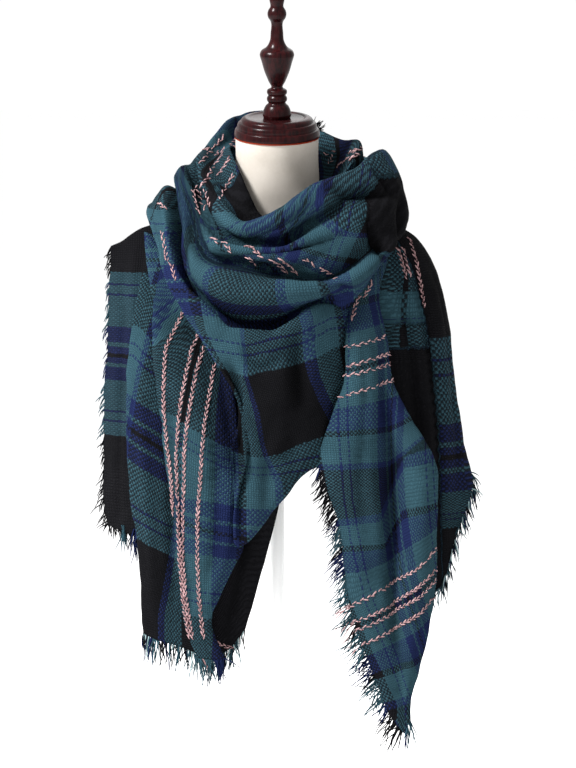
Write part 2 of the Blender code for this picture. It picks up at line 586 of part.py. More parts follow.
# The steps, in millimetres, in which each stretch is sampled across its fold lines and along them
STRETCH_STEPS = {
    "cowl_front": (COWL, 12, 18), "collar_back": (COLLAR, 17, 17), "swag_front": (SWAG, 15, 16),
    "back_fall": (BACK_FALL, 28, 34), "right_fall": (RIGHT_FALL, 20, 28), "left_fall": (LEFT_FALL, 16, 26),
    "under_apron": (UNDER_APRON, 18, 28), "front_apron": (APRON, 14, 25), "right_tail": (TAIL, 16, 25),
}
CREASES = {"cowl_front": COWL_FOLDS, "swag_front": SWAG_FOLDS}
OUTSIDE_FLIPPED = ("cowl_front", "back_fall")
WOOL_COLOURS = {
    "cowl_front": (0.05, 0.17, 0.18), "collar_back": (0.03, 0.05, 0.16), "swag_front": (0.05, 0.17, 0.18),
    "back_fall": (0.03, 0.05, 0.16), "right_fall": (0.02, 0.02, 0.022), "left_fall": (0.05, 0.17, 0.18),
    "under_apron": (0.02, 0.02, 0.022), "front_apron": (0.05, 0.17, 0.18), "right_tail": (0.05, 0.17, 0.18),
}
WOOL_ROUGHNESS = 0.95

# Each stretch in the order it comes to rest: the way it is slid, and what it can come to rest on
BACKWARD, FORWARD = (0, 1, 0), (0, -1, 0)
RESTS = (
    ("collar_back", FORWARD, ("form_bust", "cowl_front")),
    ("swag_front", BACKWARD, ("form_bust", "cowl_front")),
    ("back_fall", FORWARD, ("form_bust", "collar_back", "cowl_front", "left_fall")),
    ("right_fall", BACKWARD, ("form_bust", "back_fall", "cowl_front")),
    ("left_fall", BACKWARD, ("form_bust", "back_fall", "swag_front")),
    ("under_apron", BACKWARD, ("form_bust", "left_fall", "back_fall")),
    ("front_apron", BACKWARD, ("under_apron", "left_fall", "swag_front", "form_bust")),
    ("right_tail", BACKWARD, ("right_fall", "swag_front", "cowl_front")),
)


def scarf(linen_bust):
    pieces = {"form_bust": linen_bust}
    sheets = {}
    for name, (table, across_step, along_step) in STRETCH_STEPS.items():
        sheets[name] = stretch(table, across_step, along_step, CREASES.get(name, ()), name in OUTSIDE_FLIPPED)
        wool = finish(name + "_wool", WOOL_COLOURS[name], WOOL_ROUGHNESS)
        pieces[name] = cloth_wall(name, sheets[name], wool)
    for name, push, neighbours in RESTS:
        sheets[name] = settle(pieces[name], sheets[name], push, [pieces[other] for other in neighbours])

    # Edge, strands to a span, strand length, fall
    fringes = {
        "fringe_collar": (crest_of(sheets["collar_back"], 4, 8, 11), 3, 13, 0.1),
        "fringe_left_fall": (edge_of(sheets["left_fall"], "first_line"), 2, 14, 0.6),
        "fringe_under_apron": (edge_of(sheets["under_apron"], "bottom"), 2, 34, 0.75),
        "fringe_front_apron": (edge_of(sheets["front_apron"], "bottom"), 1, 34, 0.8),
        "fringe_right_tail": (edge_of(sheets["right_tail"], "first_line", below=500), 2, 26, 0.75),
        "fringe_right_fall": (edge_of(sheets["right_fall"], "bottom"), 2, 18, 0.7),
        "fringe_back": (edge_of(sheets["back_fall"], "bottom"), 1, 16, 0.9),
    }
    for name, (edge, per_span, length, fall) in fringes.items():
        wool = finish(name + "_wool", WOOL_COLOURS["back_fall"], WOOL_ROUGHNESS)
        fringe(name, edge, per_span, length, fall, wool)


remove_everything()
scarf(dress_form())
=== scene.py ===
"""A blanket scarf worn on a limbless dress form: the finished surfaces of every piece.

Tables are in millimetres and meshes in metres. +Z is up and -Y is the front; a point in a table is
(x, height, out), where out is how far it lies in front of the neck's upright axis.
"""
import math

import bpy
import numpy as np
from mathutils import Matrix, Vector, noise


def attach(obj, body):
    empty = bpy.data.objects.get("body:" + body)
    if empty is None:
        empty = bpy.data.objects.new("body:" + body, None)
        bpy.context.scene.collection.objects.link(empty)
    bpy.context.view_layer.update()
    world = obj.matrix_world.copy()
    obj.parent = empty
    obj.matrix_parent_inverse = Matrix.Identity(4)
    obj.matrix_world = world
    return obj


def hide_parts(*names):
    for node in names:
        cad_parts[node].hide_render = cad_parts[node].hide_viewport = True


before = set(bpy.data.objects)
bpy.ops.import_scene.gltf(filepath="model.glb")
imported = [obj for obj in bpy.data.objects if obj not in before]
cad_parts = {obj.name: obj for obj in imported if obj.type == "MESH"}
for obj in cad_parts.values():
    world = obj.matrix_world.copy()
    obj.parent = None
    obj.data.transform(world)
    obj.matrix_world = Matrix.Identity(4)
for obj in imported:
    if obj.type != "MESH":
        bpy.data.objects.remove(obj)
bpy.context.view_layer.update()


# ---- The bust -----------------------------------------------------------------------------------
# A padded tailor's bust with no arms, covered in natural linen that is drawn tight over the neck.
# The linen is a plain weave of slubby thread, sewn closed at the waist board.
MM = 0.001
BUST_RINGS = (
    (500, 108, 82, 72),
    (540, 116, 88, 78),
    (600, 128, 94, 84),
    (660, 142, 96, 88),
    (710, 156, 90, 88),
    (748, 170, 80, 84),
    (775, 174, 66, 78),
    (795, 168, 60, 72),
    (812, 146, 56, 66),
    (828, 106, 54, 61),
    (844, 76, 55, 57),
    (862, 61, 58, 55),
    (890, 57, 62, 50),
)
CAP_TILT = math.radians(10.6)
CAP_SEAT = (0.0, 934.0, 15.0)
NECK_RADIUS = 56.5
BUST_SEGMENTS, BUST_STEP = 96, 8.0
LINEN = (172, 165, 156)
LINEN_SHADE = (154, 147, 137)
LINEN_THREAD = 0.7


def lit(colour):
    """Screen colour, 0 to 255, to the linear values that shaders use."""
    shares = (part / 255 for part in colour)
    return tuple(((share + 0.055) / 1.055) ** 2.4 if share > 10 / 255 else share / 12.92 for share in shares)


def running_length(points):
    """Distance along a line of points, from its start to each of them."""
    return np.concatenate([[0.0], np.cumsum(np.linalg.norm(np.diff(points, axis=0), axis=1))])


def knot_places(points, axis):
    """Running distance from line to line (axis 0) or place to place (axis 1), averaged."""
    steps = np.linalg.norm(np.diff(points, axis=axis), axis=2).mean(axis=1 - axis)
    return np.concatenate([[0.0], np.cumsum(steps)])


def sample_places(knots, step):
    """Every knot, with even steps of about the given length between them."""
    places = [0.0]
    for low, high in zip(knots[:-1], knots[1:]):
        count = max(1, round((high - low) / step))
        places.extend(low + (high - low) * (k + 1) / count for k in range(count))
    return np.array(places)


def curve_weights(knots, places):
    """Weights of the knots at each place, for a smooth curve that passes through all of them."""
    count = len(knots)
    slopes = np.zeros((count, count))
    for k in range(count):
        low, high = max(k - 1, 0), min(k + 1, count - 1)
        if low < k < high:
            before, after = knots[k] - knots[low], knots[high] - knots[k]
            slopes[k, low] = -after / (before * (before + after))
            slopes[k, high] = before / (after * (before + after))
            slopes[k, k] = -slopes[k, low] - slopes[k, high]
        else:
            slopes[k, low] = -1.0 / (knots[high] - knots[low])
            slopes[k, high] = 1.0 / (knots[high] - knots[low])
    weights = np.zeros((len(places), count))
    for row, place in enumerate(places):
        k = int(np.clip(np.searchsorted(knots, place, side="right") - 1, 0, count - 2))
        span = knots[k + 1] - knots[k]
        t = (place - knots[k]) / span
        weights[row, k] += 2 * t**3 - 3 * t**2 + 1
        weights[row, k + 1] += 3 * t**2 - 2 * t**3
        weights[row] += (t**3 - 2 * t**2 + t) * span * slopes[k]
        weights[row] += (t**3 - t**2) * span * slopes[k + 1]
    return weights


def add_piece(name, points, faces, material):
    mesh = bpy.data.meshes.new(name)
    mesh.from_pydata(np.asarray(points).tolist(), [], faces)
    mesh.update()
    mesh.shade_smooth()
    mesh.materials.append(material)
    piece = bpy.data.objects.new(name, mesh)
    bpy.context.collection.objects.link(piece)
    return piece


def tube_faces(rings, segments):
    """Faces of a stack of rings, closed at both ends."""
    faces = []
    for ring in range(rings - 1):
        for k in range(segments):
            a, b = ring * segments + k, ring * segments + (k + 1) % segments
            faces.append((a, b, b + segments, a + segments))
    top = (rings - 1) * segments
    faces.append(tuple(range(segments))[::-1])
    faces.append(tuple(range(top, top + segments)))
    return faces


def new_material(name, roughness):
    material = bpy.data.materials.new(name)
    material.use_nodes = True
    material.node_tree.nodes["Principled BSDF"].inputs["Roughness"].default_value = roughness
    return material


def grow(owner, kind, inputs=None, **settings):
    """Adds a node to a material or a node tree. A socket given as an input is linked."""
    tree = getattr(owner, "node_tree", owner)
    node = tree.nodes.new(kind)
    for key, value in settings.items():
        setattr(node, key, value)
    for key, value in (inputs or {}).items():
        if isinstance(value, bpy.types.NodeSocket):
            tree.links.new(value, node.inputs[key])
        else:
            node.inputs[key].default_value = value
    return node


def work(material, operation, first, second=0.0, third=0.0):
    """The result of a Math node."""
    return grow(material, "ShaderNodeMath", {0: first, 1: second, 2: third}, operation=operation).outputs[0]


def scaled(owner, vector, factor):
    """A vector or a colour times a number."""
    return grow(owner, "ShaderNodeVectorMath", {0: vector, 3: factor}, operation="SCALE").outputs[0]


def speckle(material, place, scale, detail):
    """The value of a noise pattern, 0 to 1."""
    pattern = {"Vector": place, "Scale": scale, "Detail": detail}
    return grow(material, "ShaderNodeTexNoise", pattern).outputs[0]


def stretched(material, value, low, high, to_low=0.0, to_high=1.0, **settings):
    """A value moved from one range to another."""
    return grow(material, "ShaderNodeMapRange", {"Value": value, 1: low, 2: high, 3: to_low, 4: to_high},
                **settings).outputs[0]


def blend_colours(material, factor, first, second):
    """From the first colour to the second one, each a screen colour or what a node gives."""
    first, second = ((*lit(colour), 1) if isinstance(colour, tuple) else colour for colour in (first, second))
    return grow(material, "ShaderNodeMix", {0: factor, 6: first, 7: second}, data_type="RGBA").outputs[2]


def two_tones(material, value, dark, light, low, high):
    """From the dark colour to the light one as a value rises from low to high."""
    ramp = grow(material, "ShaderNodeValToRGB", {0: value})
    for stop, position, colour in zip(ramp.color_ramp.elements, (low, high), (dark, light)):
        stop.position = position
        stop.color = (*lit(colour), 1)
    return ramp.outputs[0]


def finish_shader(material, colour, height=None, depth=0.0002, **values):
    """Links the colour and the bump height to the shader, and sets its own values."""
    tree = material.node_tree
    shader = tree.nodes["Principled BSDF"]
    tree.links.new(colour, shader.inputs["Base Color"])
    if height is not None:
        bump = grow(material, "ShaderNodeBump", {"Height": height, "Distance": depth, "Strength": 1.0})
        tree.links.new(bump.outputs[0], shader.inputs["Normal"])
    for key, value in values.items():
        shader.inputs[key.replace("_", " ")].default_value = value


def bust_mesh():
    """Rings of the bust, from the waist board up to the tilted seat of the cap."""
    angles = 2 * math.pi * np.arange(BUST_SEGMENTS) / BUST_SEGMENTS
    rings = []
    for height, half_width, front, behind in BUST_RINGS:
        depth = np.where(np.cos(angles) > 0, front, behind)
        rings.append(np.stack([half_width * np.sin(angles), -depth * np.cos(angles),
                               np.full(BUST_SEGMENTS, height)], axis=1))
    x, height, out = CAP_SEAT
    side, front = NECK_RADIUS * np.sin(angles), NECK_RADIUS * np.cos(angles)
    rings.append(np.stack([x + side, -(out + front * math.cos(CAP_TILT)),
                           height - front * math.sin(CAP_TILT)], axis=1))
    rings = np.array(rings)
    knots = knot_places(rings, 0)
    weights = curve_weights(knots, sample_places(knots, BUST_STEP))
    return np.einsum("ai,ijk->ajk", weights, rings)


def linen_material():
    material = new_material("linen", 0.85)
    place = grow(material, "ShaderNodeTexCoord").outputs["Object"]
    parts = grow(material, "ShaderNodeSeparateXYZ", {0: place})
    turn = work(material, "ARCTAN2", parts.outputs[0], parts.outputs[1])
    around = work(material, "MULTIPLY", turn, 60.0 / LINEN_THREAD * 2 * math.pi)
    up = work(material, "MULTIPLY", parts.outputs[2], 1000.0 / LINEN_THREAD * 2 * math.pi)
    weave = work(material, "ADD", work(material, "SINE", around), work(material, "SINE", up))
    height = work(material, "MULTIPLY_ADD", weave, 0.25, speckle(material, place, 260.0, 4.0))
    tone = work(material, "MULTIPLY_ADD", height, 0.25, speckle(material, place, 22.0, 5.0))
    cloth = two_tones(material, tone, LINEN_SHADE, LINEN, 0.25, 0.8)
    # Painted shade: the foot of the neck is darkened in colour where the cowl shades it
    foot_tone = stretched(material, parts.outputs[2], 0.82, 0.93, 0.38, 1.0)
    finish_shader(material, scaled(material, cloth, foot_tone), height, 0.00015)
    return material


bust_rings = bust_mesh()
bust = add_piece("linen_bust", bust_rings.reshape(-1, 3) * MM, tube_faces(len(bust_rings), BUST_SEGMENTS),
                 linen_material())
bust.data.set_sharp_from_angle(angle=math.radians(50))
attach(bust, "root")
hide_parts("form_bust")


# ---- The neck cap -------------------------------------------------------------------------------
# A turned mahogany disc that closes the neck, stained dark red and lacquered. Its stepped rings are
# cut on the lathe, and the stain is rubbed thin on the lowest edge, which glows orange.
CAP_PROFILE = (
    (57.5, 0.3), (58.4, 3), (58.0, 8), (56.6, 12), (54.6, 12.8), (54.2, 17), (51.8, 21.4), (49.6, 22),
    (49.0, 24.4), (45.6, 27.6), (42.6, 28.4), (36, 27.0),
)
MAHOGANY = (36, 8, 9)
MAHOGANY_GRAIN = (15, 4, 5)
RUBBED_EDGE = (120, 40, 20)
RUBBED_HEIGHT = 0.0022
GRAIN_DRAWN_OUT = 0.12              # how far the grain is stretched along the axis


def turned(name, profile, segments, step, material):
    """A piece turned about its own axis, with flat ends, leaning forward as the cap does."""
    outline = np.array(profile, dtype=float)
    knots = running_length(outline)
    outline = curve_weights(knots, sample_places(knots, step)) @ outline
    angles = 2 * math.pi * np.arange(segments) / segments
    radius, up = outline[:, :1], outline[:, 1:]
    side, front = radius * np.sin(angles), radius * np.cos(angles)
    x, height, out = CAP_SEAT
    forward = out + front * math.cos(CAP_TILT) + up * math.sin(CAP_TILT)
    level = height + up * math.cos(CAP_TILT) - front * math.sin(CAP_TILT)
    points = np.stack([x + side, -forward, level], axis=2).reshape(-1, 3) * MM
    piece = add_piece(name, points, tube_faces(len(outline), segments), material)
    piece.data.set_sharp_from_angle(angle=math.radians(40))
    return piece


def wood_material(name, foot_tone):
    """Stained and lacquered wood, its grain running up the axis of the neck."""
    material = new_material(name, 0.28)
    place = grow(material, "ShaderNodeTexCoord").outputs["Object"]
    x, height, out = (part * MM for part in CAP_SEAT)
    upright = grow(material, "ShaderNodeMapping", {"Vector": place, "Location": (-x, out, -height)},
                   vector_type="POINT").outputs[0]
    upright = grow(material, "ShaderNodeVectorRotate", {"Vector": upright, "Angle": -CAP_TILT},
                   rotation_type="X_AXIS").outputs[0]
    drawn = grow(material, "ShaderNodeVectorMath", {0: upright, 1: (1.0, 1.0, GRAIN_DRAWN_OUT)},
                 operation="MULTIPLY").outputs[0]
    grain = grow(material, "ShaderNodeTexNoise", {"Vector": drawn, "Scale": 240.0, "Detail": 6.0,
                                                  "Distortion": 0.6}).outputs[0]
    colour = two_tones(material, grain, MAHOGANY_GRAIN, MAHOGANY, 0.35, 0.68)
    if foot_tone:
        axis_height = grow(material, "ShaderNodeSeparateXYZ", {0: upright}).outputs[2]
        edge = work(material, "LESS_THAN", axis_height, RUBBED_HEIGHT)
        colour = blend_colours(material, edge, colour, RUBBED_EDGE)
    finish_shader(material, colour, grain, 0.00004, Specular_IOR_Level=0.05, Coat_Weight=0.05,
                  Coat_Roughness=0.12)
    return material


cap = turned("mahogany_cap", CAP_PROFILE, 128, 1.0, wood_material("cap_wood", True))
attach(cap, "root")
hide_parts("neck_cap")


# ---- The finial ---------------------------------------------------------------------------------
# An urn and spindle turned from one piece of the same wood and screwed into the cap. Two fine rings
# run round the urn's shoulder.
FINIAL_PROFILE = (
    (18.2, 27.3), (19.4, 31), (18.6, 37), (15.4, 44), (11.6, 48.6), (13.4, 51), (13.4, 56), (11.8, 58.4),
    (13.4, 61), (13.4, 65.4), (8.0, 69.2), (11.6, 78), (17.2, 92), (21.2, 106), (22.0, 108.6),
    (23.4, 115), (21.6, 119.6), (14.4, 125), (9.6, 134), (8.6, 144), (8.9, 161), (11.8, 165.4),
    (12.9, 170.6), (11.6, 176), (9.3, 179.6), (9.3, 193.4), (8.6, 194.2),
)
finial = turned("mahogany_finial", FINIAL_PROFILE, 64, 1.2, wood_material("finial_wood", False))
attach(finial, "root")
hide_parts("finial")


# ---- The pole and base --------------------------------------------------------------------------
# A steel tube and a pressed steel base, both sprayed with white enamel that has a fine orange peel.
# The tube is pressed into the base's collar and screwed to the waist board.
ENAMEL = (236, 236, 234)
ENAMEL_SHADE = (226, 227, 228)


def enamel_material():
    material = new_material("white_enamel", 0.4)
    place = grow(material, "ShaderNodeTexCoord").outputs["Object"]
    peel = speckle(material, place, 900.0, 2.0)
    tone = blend_colours(material, peel, ENAMEL, ENAMEL_SHADE)
    finish_shader(material, tone, peel, 0.00002, Coat_Weight=0.3, Coat_Roughness=0.2)
    return material


enamel = enamel_material()
for node_name in ("pole", "base"):
    node_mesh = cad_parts[node_name].data
    node_mesh.materials.clear()
    node_mesh.materials.append(enamel)


# ---- The cowl -----------------------------------------------------------------------------------
# The upper wraps of the scarf, loosely gathered round the neck into rolls with a deep pocket below.
# Brushed woollen plain weave in a tartan of teal, navy and black, with pink chains laid in along
# the warp. The cloth is one square, so its threads run on from stretch to stretch.
CLOTH = 2.0                         # thickness with its nap
FINE_STEP = 3.0                     # from point to point of a stretch
WARP_PITCH, WEFT_PITCH = 3.2, 2.5   # from yarn to yarn
TEAL, NAVY, BLACK = (34, 56, 64), (19, 26, 54), (12, 12, 14)
PINK, PINK_SHADE = (152, 122, 123), (68, 43, 46)
PALE = (120, 140, 142)              # ends of the teal yarn, where it is worn thin
# Yarn colours from one line of symmetry to the next: where each band ends, in millimetres
WARP_CENTRE_TO_CENTRE, WEFT_CENTRE_TO_CENTRE = 191.0, 165.0
WARP_SETT = ((4, BLACK), (52, TEAL), (84, NAVY), (93, BLACK), (130, TEAL), (141, NAVY), (191, BLACK))
WEFT_SETT = ((2.5, BLACK), (10, NAVY), (14, TEAL), (33, NAVY), (71, TEAL), (75.5, NAVY), (83.5, TEAL),
             (88, NAVY), (105, TEAL), (165, BLACK))
PINK_CHAINS = (-33, -7, 7, 33)      # places of the pink chains in the warp
YARN_SWAY = 3.2                     # how unevenly the yarns lie
RIPPLES = ((38.0, 2.4), (15.0, 0.8))  # width and height of the ripples of handled wool
# Painted shade: the troughs of the folds are darkened in colour, in full at this depth
PAINTED_SHADE_DEPTH = 12.0                 # depth of a trough that is shaded in full
STITCH_PITCH = 5.6                  # from stitch to stitch along a chain
STITCH_REACH = 30                   # how far the weft may run on within one square of a stretch
WIDEST_SQUARE = 40                  # the same of the warp: more is the jump to the next repeat
RUN_PITCH = 4.0                     # from stitch to stitch where a run is drawn
RUN_START = 1.5
RUN_REACH = 3.0                     # how far the cloth may lie from a stitch of a run
STITCH_ASIDE = 1.2
STITCH_SLANT = 0.36
STITCH_LIFT = 0.3
COWL = {
    "foot": [(-63, 922, -12), (-62, 914, 16), (-52, 892, 46), (-40, 862, 64), (-24, 832, 74), (2, 812, 86),
             (36, 822, 82), (70, 842, 66), (98, 856, 44), (120, 862, 8), (124, 860, -36), (104, 862, -94)],
    "inside": [(-80, 912, -19), (-82, 896, 20), (-68, 872, 58), (-52, 838, 86), (-38, 812, 106),
               (4, 814, 114), (46, 842, 98), (86, 860, 82), (112, 876, 56), (130, 884, 6),
               (133, 880, -38), (110, 882, -98)],
    "rim": [(-98, 918, -20), (-104, 910, 15), (-104, 888, 55), (-80, 850, 100), (-46, 820, 132),
            (5, 842, 137), (52, 872, 116), (106, 892, 84), (134, 912, 46), (146, 914, 4), (144, 907, -40),
            (117, 902, -103)],
    "upper_roll": [(-110, 905, -23), (-115, 900, 22), (-107, 874, 68), (-86, 832, 114), (-46, 806, 147),
                   (5, 820, 155), (54, 846, 141), (118, 868, 104), (150, 888, 58), (161, 893, 8),
                   (156, 886, -44), (126, 890, -108)],
    "first_crease": [(-116, 897, -25), (-119, 892, 28), (-104, 858, 79), (-84, 812, 125), (-38, 796, 149),
                     (6, 797, 152), (50, 817, 141), (122, 848, 111), (157, 868, 64), (169, 876, 8),
                     (161, 870, -47), (131, 876, -112)],
    "middle_roll": [(-121, 891, -27), (-126, 893, 24), (-115, 848, 84), (-92, 793, 136), (-44, 782, 160),
                    (6, 784, 165), (60, 796, 154), (128, 826, 120), (163, 850, 68), (173, 860, 6),
                    (165, 856, -49), (135, 864, -114)],
    "lower_crease": [(-125, 886, -29), (-132, 892, 20), (-124, 842, 79), (-99, 779, 131), (-46, 765, 154),
                     (6, 754, 157), (64, 750, 150), (123, 784, 130), (165, 830, 74), (176, 846, 5),
                     (167, 845, -50), (137, 852, -114)],
    "big_roll": [(-130, 880, -30), (-138, 887, 18), (-131, 832, 78), (-112, 763, 134), (-62, 736, 164),
                 (4, 732, 173), (70, 737, 163), (122, 758, 146), (166, 802, 90), (178, 832, 4),
                 (168, 834, -50), (137, 838, -110)],
    "underside": [(-133, 873, -29), (-141, 880, 15), (-136, 826, 71), (-118, 759, 120), (-70, 710, 146),
                  (0, 703, 150), (62, 728, 145), (111, 740, 136), (161, 793, 88), (176, 822, 3),
                  (165, 825, -48), (134, 822, -104)],
    "pocket": [(-132, 865, -27), (-138, 872, 12), (-131, 819, 62), (-113, 733, 100), (-66, 674, 126),
               (-6, 664, 130), (54, 702, 127), (96, 709, 124), (150, 787, 86), (168, 814, 2),
               (158, 817, -43), (129, 812, -98)],
}
# Troughs and ridges pressed into the stretch: a path of (line, place) numbers, width, height
COWL_FOLDS = (
    ([(4.5, 1.7), (5.0, 2.4), (5.3, 3.0)], 8, -13),
    ([(5.4, 3.4), (5.6, 4.4), (5.6, 5.4), (5.2, 6.3)], 7, -9),
    ([(7.0, 7.5), (6.0, 7.2), (5.0, 6.9)], 10, -14),
    ([(2.4, 6.2), (3.4, 6.9), (4.2, 7.7)], 10, -14),
    ([(3.3, 1.0), (3.9, 1.8), (4.0, 3.0), (4.0, 5.0), (3.7, 6.2), (3.0, 7.0)], 8, -18),
    ([(5.0, 3.2), (4.9, 4.5), (4.9, 5.5), (5.0, 6.5)], 6, -12),
    ([(5.6, 1.6), (6.0, 2.5), (6.0, 4.0), (6.0, 5.5), (6.0, 7.2)], 8, -17),
    ([(7.3, 2.6), (7.2, 5.0), (7.2, 6.8)], 22, 9),
    ([(6.3, 2.1), (7.1, 2.7), (8.0, 3.2)], 8, -8),
    ([(6.4, 5.9), (7.2, 6.3), (8.2, 6.7)], 8, -8),
    ([(2.6, 7.5), (3.6, 7.8), (4.6, 8.0)], 10, -10),
    ([(5.2, 8.3), (6.2, 8.1), (7.2, 8.0)], 10, -10),
    ([(3.0, 9.3), (4.2, 9.5), (5.6, 9.3)], 11, -8),
    ([(4.6, 10.2), (5.4, 10.5), (6.4, 10.4)], 10, -6),
    ([(2.0, 2.8), (2.5, 4.0), (2.6, 5.2), (2.3, 6.4)], 9, 7),
    ([(3.0, 2.6), (3.1, 4.6), (2.9, 6.0)], 6, -7),
    ([(4.5, 3.2), (4.45, 4.6), (4.5, 6.2)], 7, 7),
    ([(5.5, 3.0), (5.45, 4.6), (5.5, 6.6)], 6, 5),
    ([(2.6, 0.6), (3.6, 1.4), (4.6, 2.2)], 8, -9),
    ([(7.3, 0.9), (8.0, 1.9), (8.7, 2.8)], 11, -12),
    ([(8.4, 3.2), (8.5, 5.0), (8.3, 6.4)], 9, -9),
)
# Pink chains that come out of the folds: points (x, height) along each
COWL_RUNS = (
    ((-76, 915), (-94, 881), (-111, 865)), ((-66, 908), (-79, 886)), ((-60, 886), (-75, 856)),
    ((-86, 920), (-106, 899)), ((-112, 864), (-104, 833)), ((-106, 864), (-97, 836)),
    ((-99, 866), (-92, 842)),
    ((-86, 805), (-79, 795)), ((-72, 799), (-61, 783)), ((-41, 795), (-30, 786), (-19, 777)),
    ((-40, 776), (-28, 764)), ((-9, 775), (4, 765), (13, 755)), ((5, 776), (16, 765), (26, 754)),
    ((37, 775), (49, 765)), ((55, 763), (67, 757), (78, 751)),
)
COWL_WARP = {"place": (-41, -22, -5, 4, 45, 88, 133, 190, 232, 275, 315, 380),
             "line": (60, 33, 0, 0, -10, -22, -85)}
COWL_WEFT = {"place": (180, 140, 105, 85, 52, 12, -42, -100, -135, -170, -220, -285),
             "line": (62, 50, 38, 16, -4, -15, -40)}
COWL_WARP_BELOW = {"place": (20, 50, 75, 110, 170, 246, 300, 356, 420, 465, 520, 590),
                   "line": (0, 0, 0, -15, -35)}
COWL_WEFT_BELOW = {"place": (30, 20, 6, -6, -4, 0, 0, 0, 4, 10, 30, 60), "line": (-74, -74, -46, -14, 0)}
TUCK_LINE = 6                       # the lower crease, where the folds above and below it meet
# The black block at the wearer's left: the place where it starts on each line, where it ends, its top
BLACK_FOLD = ((3.0, 7.6), (3.6, 7.1), (5.0, 6.9), (6.0, 7.2), (7.0, 7.5), (8.0, 7.9), (9.0, 8.0))
BLACK_FOLD_END = 9.6
BLACK_FOLD_TOP = 884
BLACK_THREADS = {"warp": 190.0, "weft": -150.0}  # threads in its middle
# The black inside the rim: its last line, its first and last place
INNER_BLACK = (1.4, 2.2, 7.5)
# Above the black block the weft turns teal: first line, first place, lowest height, thread there, and
# threads counted off for each millimetre of height
TEAL_SHOULDER = (2.0, 7.4, 880, -40.0, 0.8)


def surface_normals(grid):
    """Unit normals of a grid of points, pointing to the cloth's outer side."""
    normal = np.cross(np.gradient(grid, axis=0), np.gradient(grid, axis=1))
    return normal / np.linalg.norm(normal, axis=2, keepdims=True)


def pressed(grid, points, across, along, folds):
    """How far each point of a stretch is pressed in or raised by its hand-placed folds."""
    relief = np.zeros(grid.shape[:2])
    for path, width, height in folds:
        path = np.array(path, dtype=float)
        steps = np.linspace(0, len(path) - 1, 12 * len(path))
        line_numbers = np.interp(steps, range(len(path)), path[:, 0])
        place_numbers = np.interp(steps, range(len(path)), path[:, 1])
        line_weights = curve_weights(across, np.interp(line_numbers, range(len(across)), across))
        place_weights = curve_weights(along, np.interp(place_numbers, range(len(along)), along))
        trail = np.einsum("ai,aj,ijk->ak", line_weights, place_weights, points)
        taper = np.sin(np.linspace(0, math.pi, len(trail))) ** 0.5
        nearest = np.zeros(grid.shape[:2])
        for spot, share in zip(trail, taper):
            distance = np.linalg.norm(grid - spot, axis=2)
            nearest = np.maximum(nearest, np.exp(-(distance / width) ** 2) * share)
        relief += height * nearest
    return relief


def ripples(grid, size, height, seed):
    """Soft uneven ripples of handled wool, in millimetres."""
    flat = grid.reshape(-1, 3) / size + seed
    return height * np.array([noise.noise(Vector(point)) for point in flat]).reshape(grid.shape[:2])


def loft(table, folds, flip=False, slide=0.0, step=FINE_STEP, seed=0.0):
    """A stretch of cloth lofted through its fold lines, slid by how far it comes to rest in depth."""
    points = np.array([[(x, -out + slide, height) for x, height, out in line] for line in table.values()])
    across, along = knot_places(points, 0), knot_places(points, 1)
    rows, places = sample_places(across, step), sample_places(along, step)
    line_weights, place_weights = curve_weights(across, rows), curve_weights(along, places)
    grid = np.einsum("ai,dj,ijk->adk", line_weights, place_weights, points)
    side = -1.0 if flip else 1.0
    relief = pressed(grid, points, across, along, folds)
    # Painted shade: how deep each point lies in a trough of its folds, which darkens the cloth's colour there
    painted_crease_shade = np.clip(-relief / PAINTED_SHADE_DEPTH, 0.0, 1.0)
    relief += sum(ripples(grid, size, height, seed + 9.0 * k) for k, (size, height) in enumerate(RIPPLES))
    normals = surface_normals(grid)
    outward = np.sign(np.sum(normals[:, :, :2] * grid[:, :, :2]))
    grid = grid + outward * normals * relief[:, :, None]
    normals = side * surface_normals(grid)
    shows = side * outward
    return {"grid": grid, "normals": normals, "flip": flip, "painted_crease_shade": painted_crease_shade,
            "across": across, "rows": rows, "line_weights": line_weights,
            "along": along, "places": places, "place_weights": place_weights,
            "facing": shows * normals, "face": grid if shows > 0 else grid - normals * CLOTH}


def count_threads(sheet, sums):
    """Thread numbers that are the sum of a value for each line and one for each place."""
    table = np.add.outer(np.array(sums["line"], dtype=float), np.array(sums["place"], dtype=float))
    return sheet["line_weights"] @ table @ sheet["place_weights"].T


def weave_wall(name, sheet, material):
    """A closed wall of cloth behind the outer points, with its thread numbers in a UV map."""
    outer = sheet["grid"]
    inner = outer - sheet["normals"] * CLOTH
    rows, columns = outer.shape[:2]
    half = rows * columns
    points = np.concatenate([outer.reshape(-1, 3), inner.reshape(-1, 3)]) * MM
    corner = np.arange(half).reshape(rows, columns)
    a, b = corner[:-1, :-1].ravel(), corner[1:, :-1].ravel()
    quads = np.stack([a, b, b + 1, a + 1], axis=1)
    if sheet["flip"]:
        quads = quads[:, ::-1]
    rim = np.concatenate([corner[:-1, 0], corner[-1, :-1], corner[:0:-1, -1], corner[0, :0:-1]])
    following = np.roll(rim, -1)
    hem = np.stack([following, rim, half + rim, half + following], axis=1)
    if sheet["flip"]:
        hem = hem[:, ::-1]
    faces = np.concatenate([quads, (half + quads)[:, ::-1], hem])
    piece = add_piece(name, points, faces.tolist(), material)
    threads = np.tile(np.stack([sheet["warp"].ravel(), sheet["weft"].ravel()], axis=1) * MM, (2, 1))
    layer = piece.data.uv_layers.new(name="threads")
    corners = np.empty(len(piece.data.loops), dtype=np.int32)
    piece.data.loops.foreach_get("vertex_index", corners)
    layer.data.foreach_set("uv", threads[corners].astype(np.float32).ravel())
    surface = {"nap": np.full(2 * half, sheet.get("nap", 0.2)), "painted_crease_shade": np.tile(sheet["painted_crease_shade"].ravel(), 2)}
    for label, values in surface.items():
        attribute = piece.data.attributes.new(label, "FLOAT", "POINT")
        attribute.data.foreach_set("value", values.astype(np.float32))
    return piece


def off_centre(thread, half_repeat):
    """How far a thread lies from the nearest middle of the pattern, to one side or the other."""
    return (thread + half_repeat) % (2 * half_repeat) - half_repeat


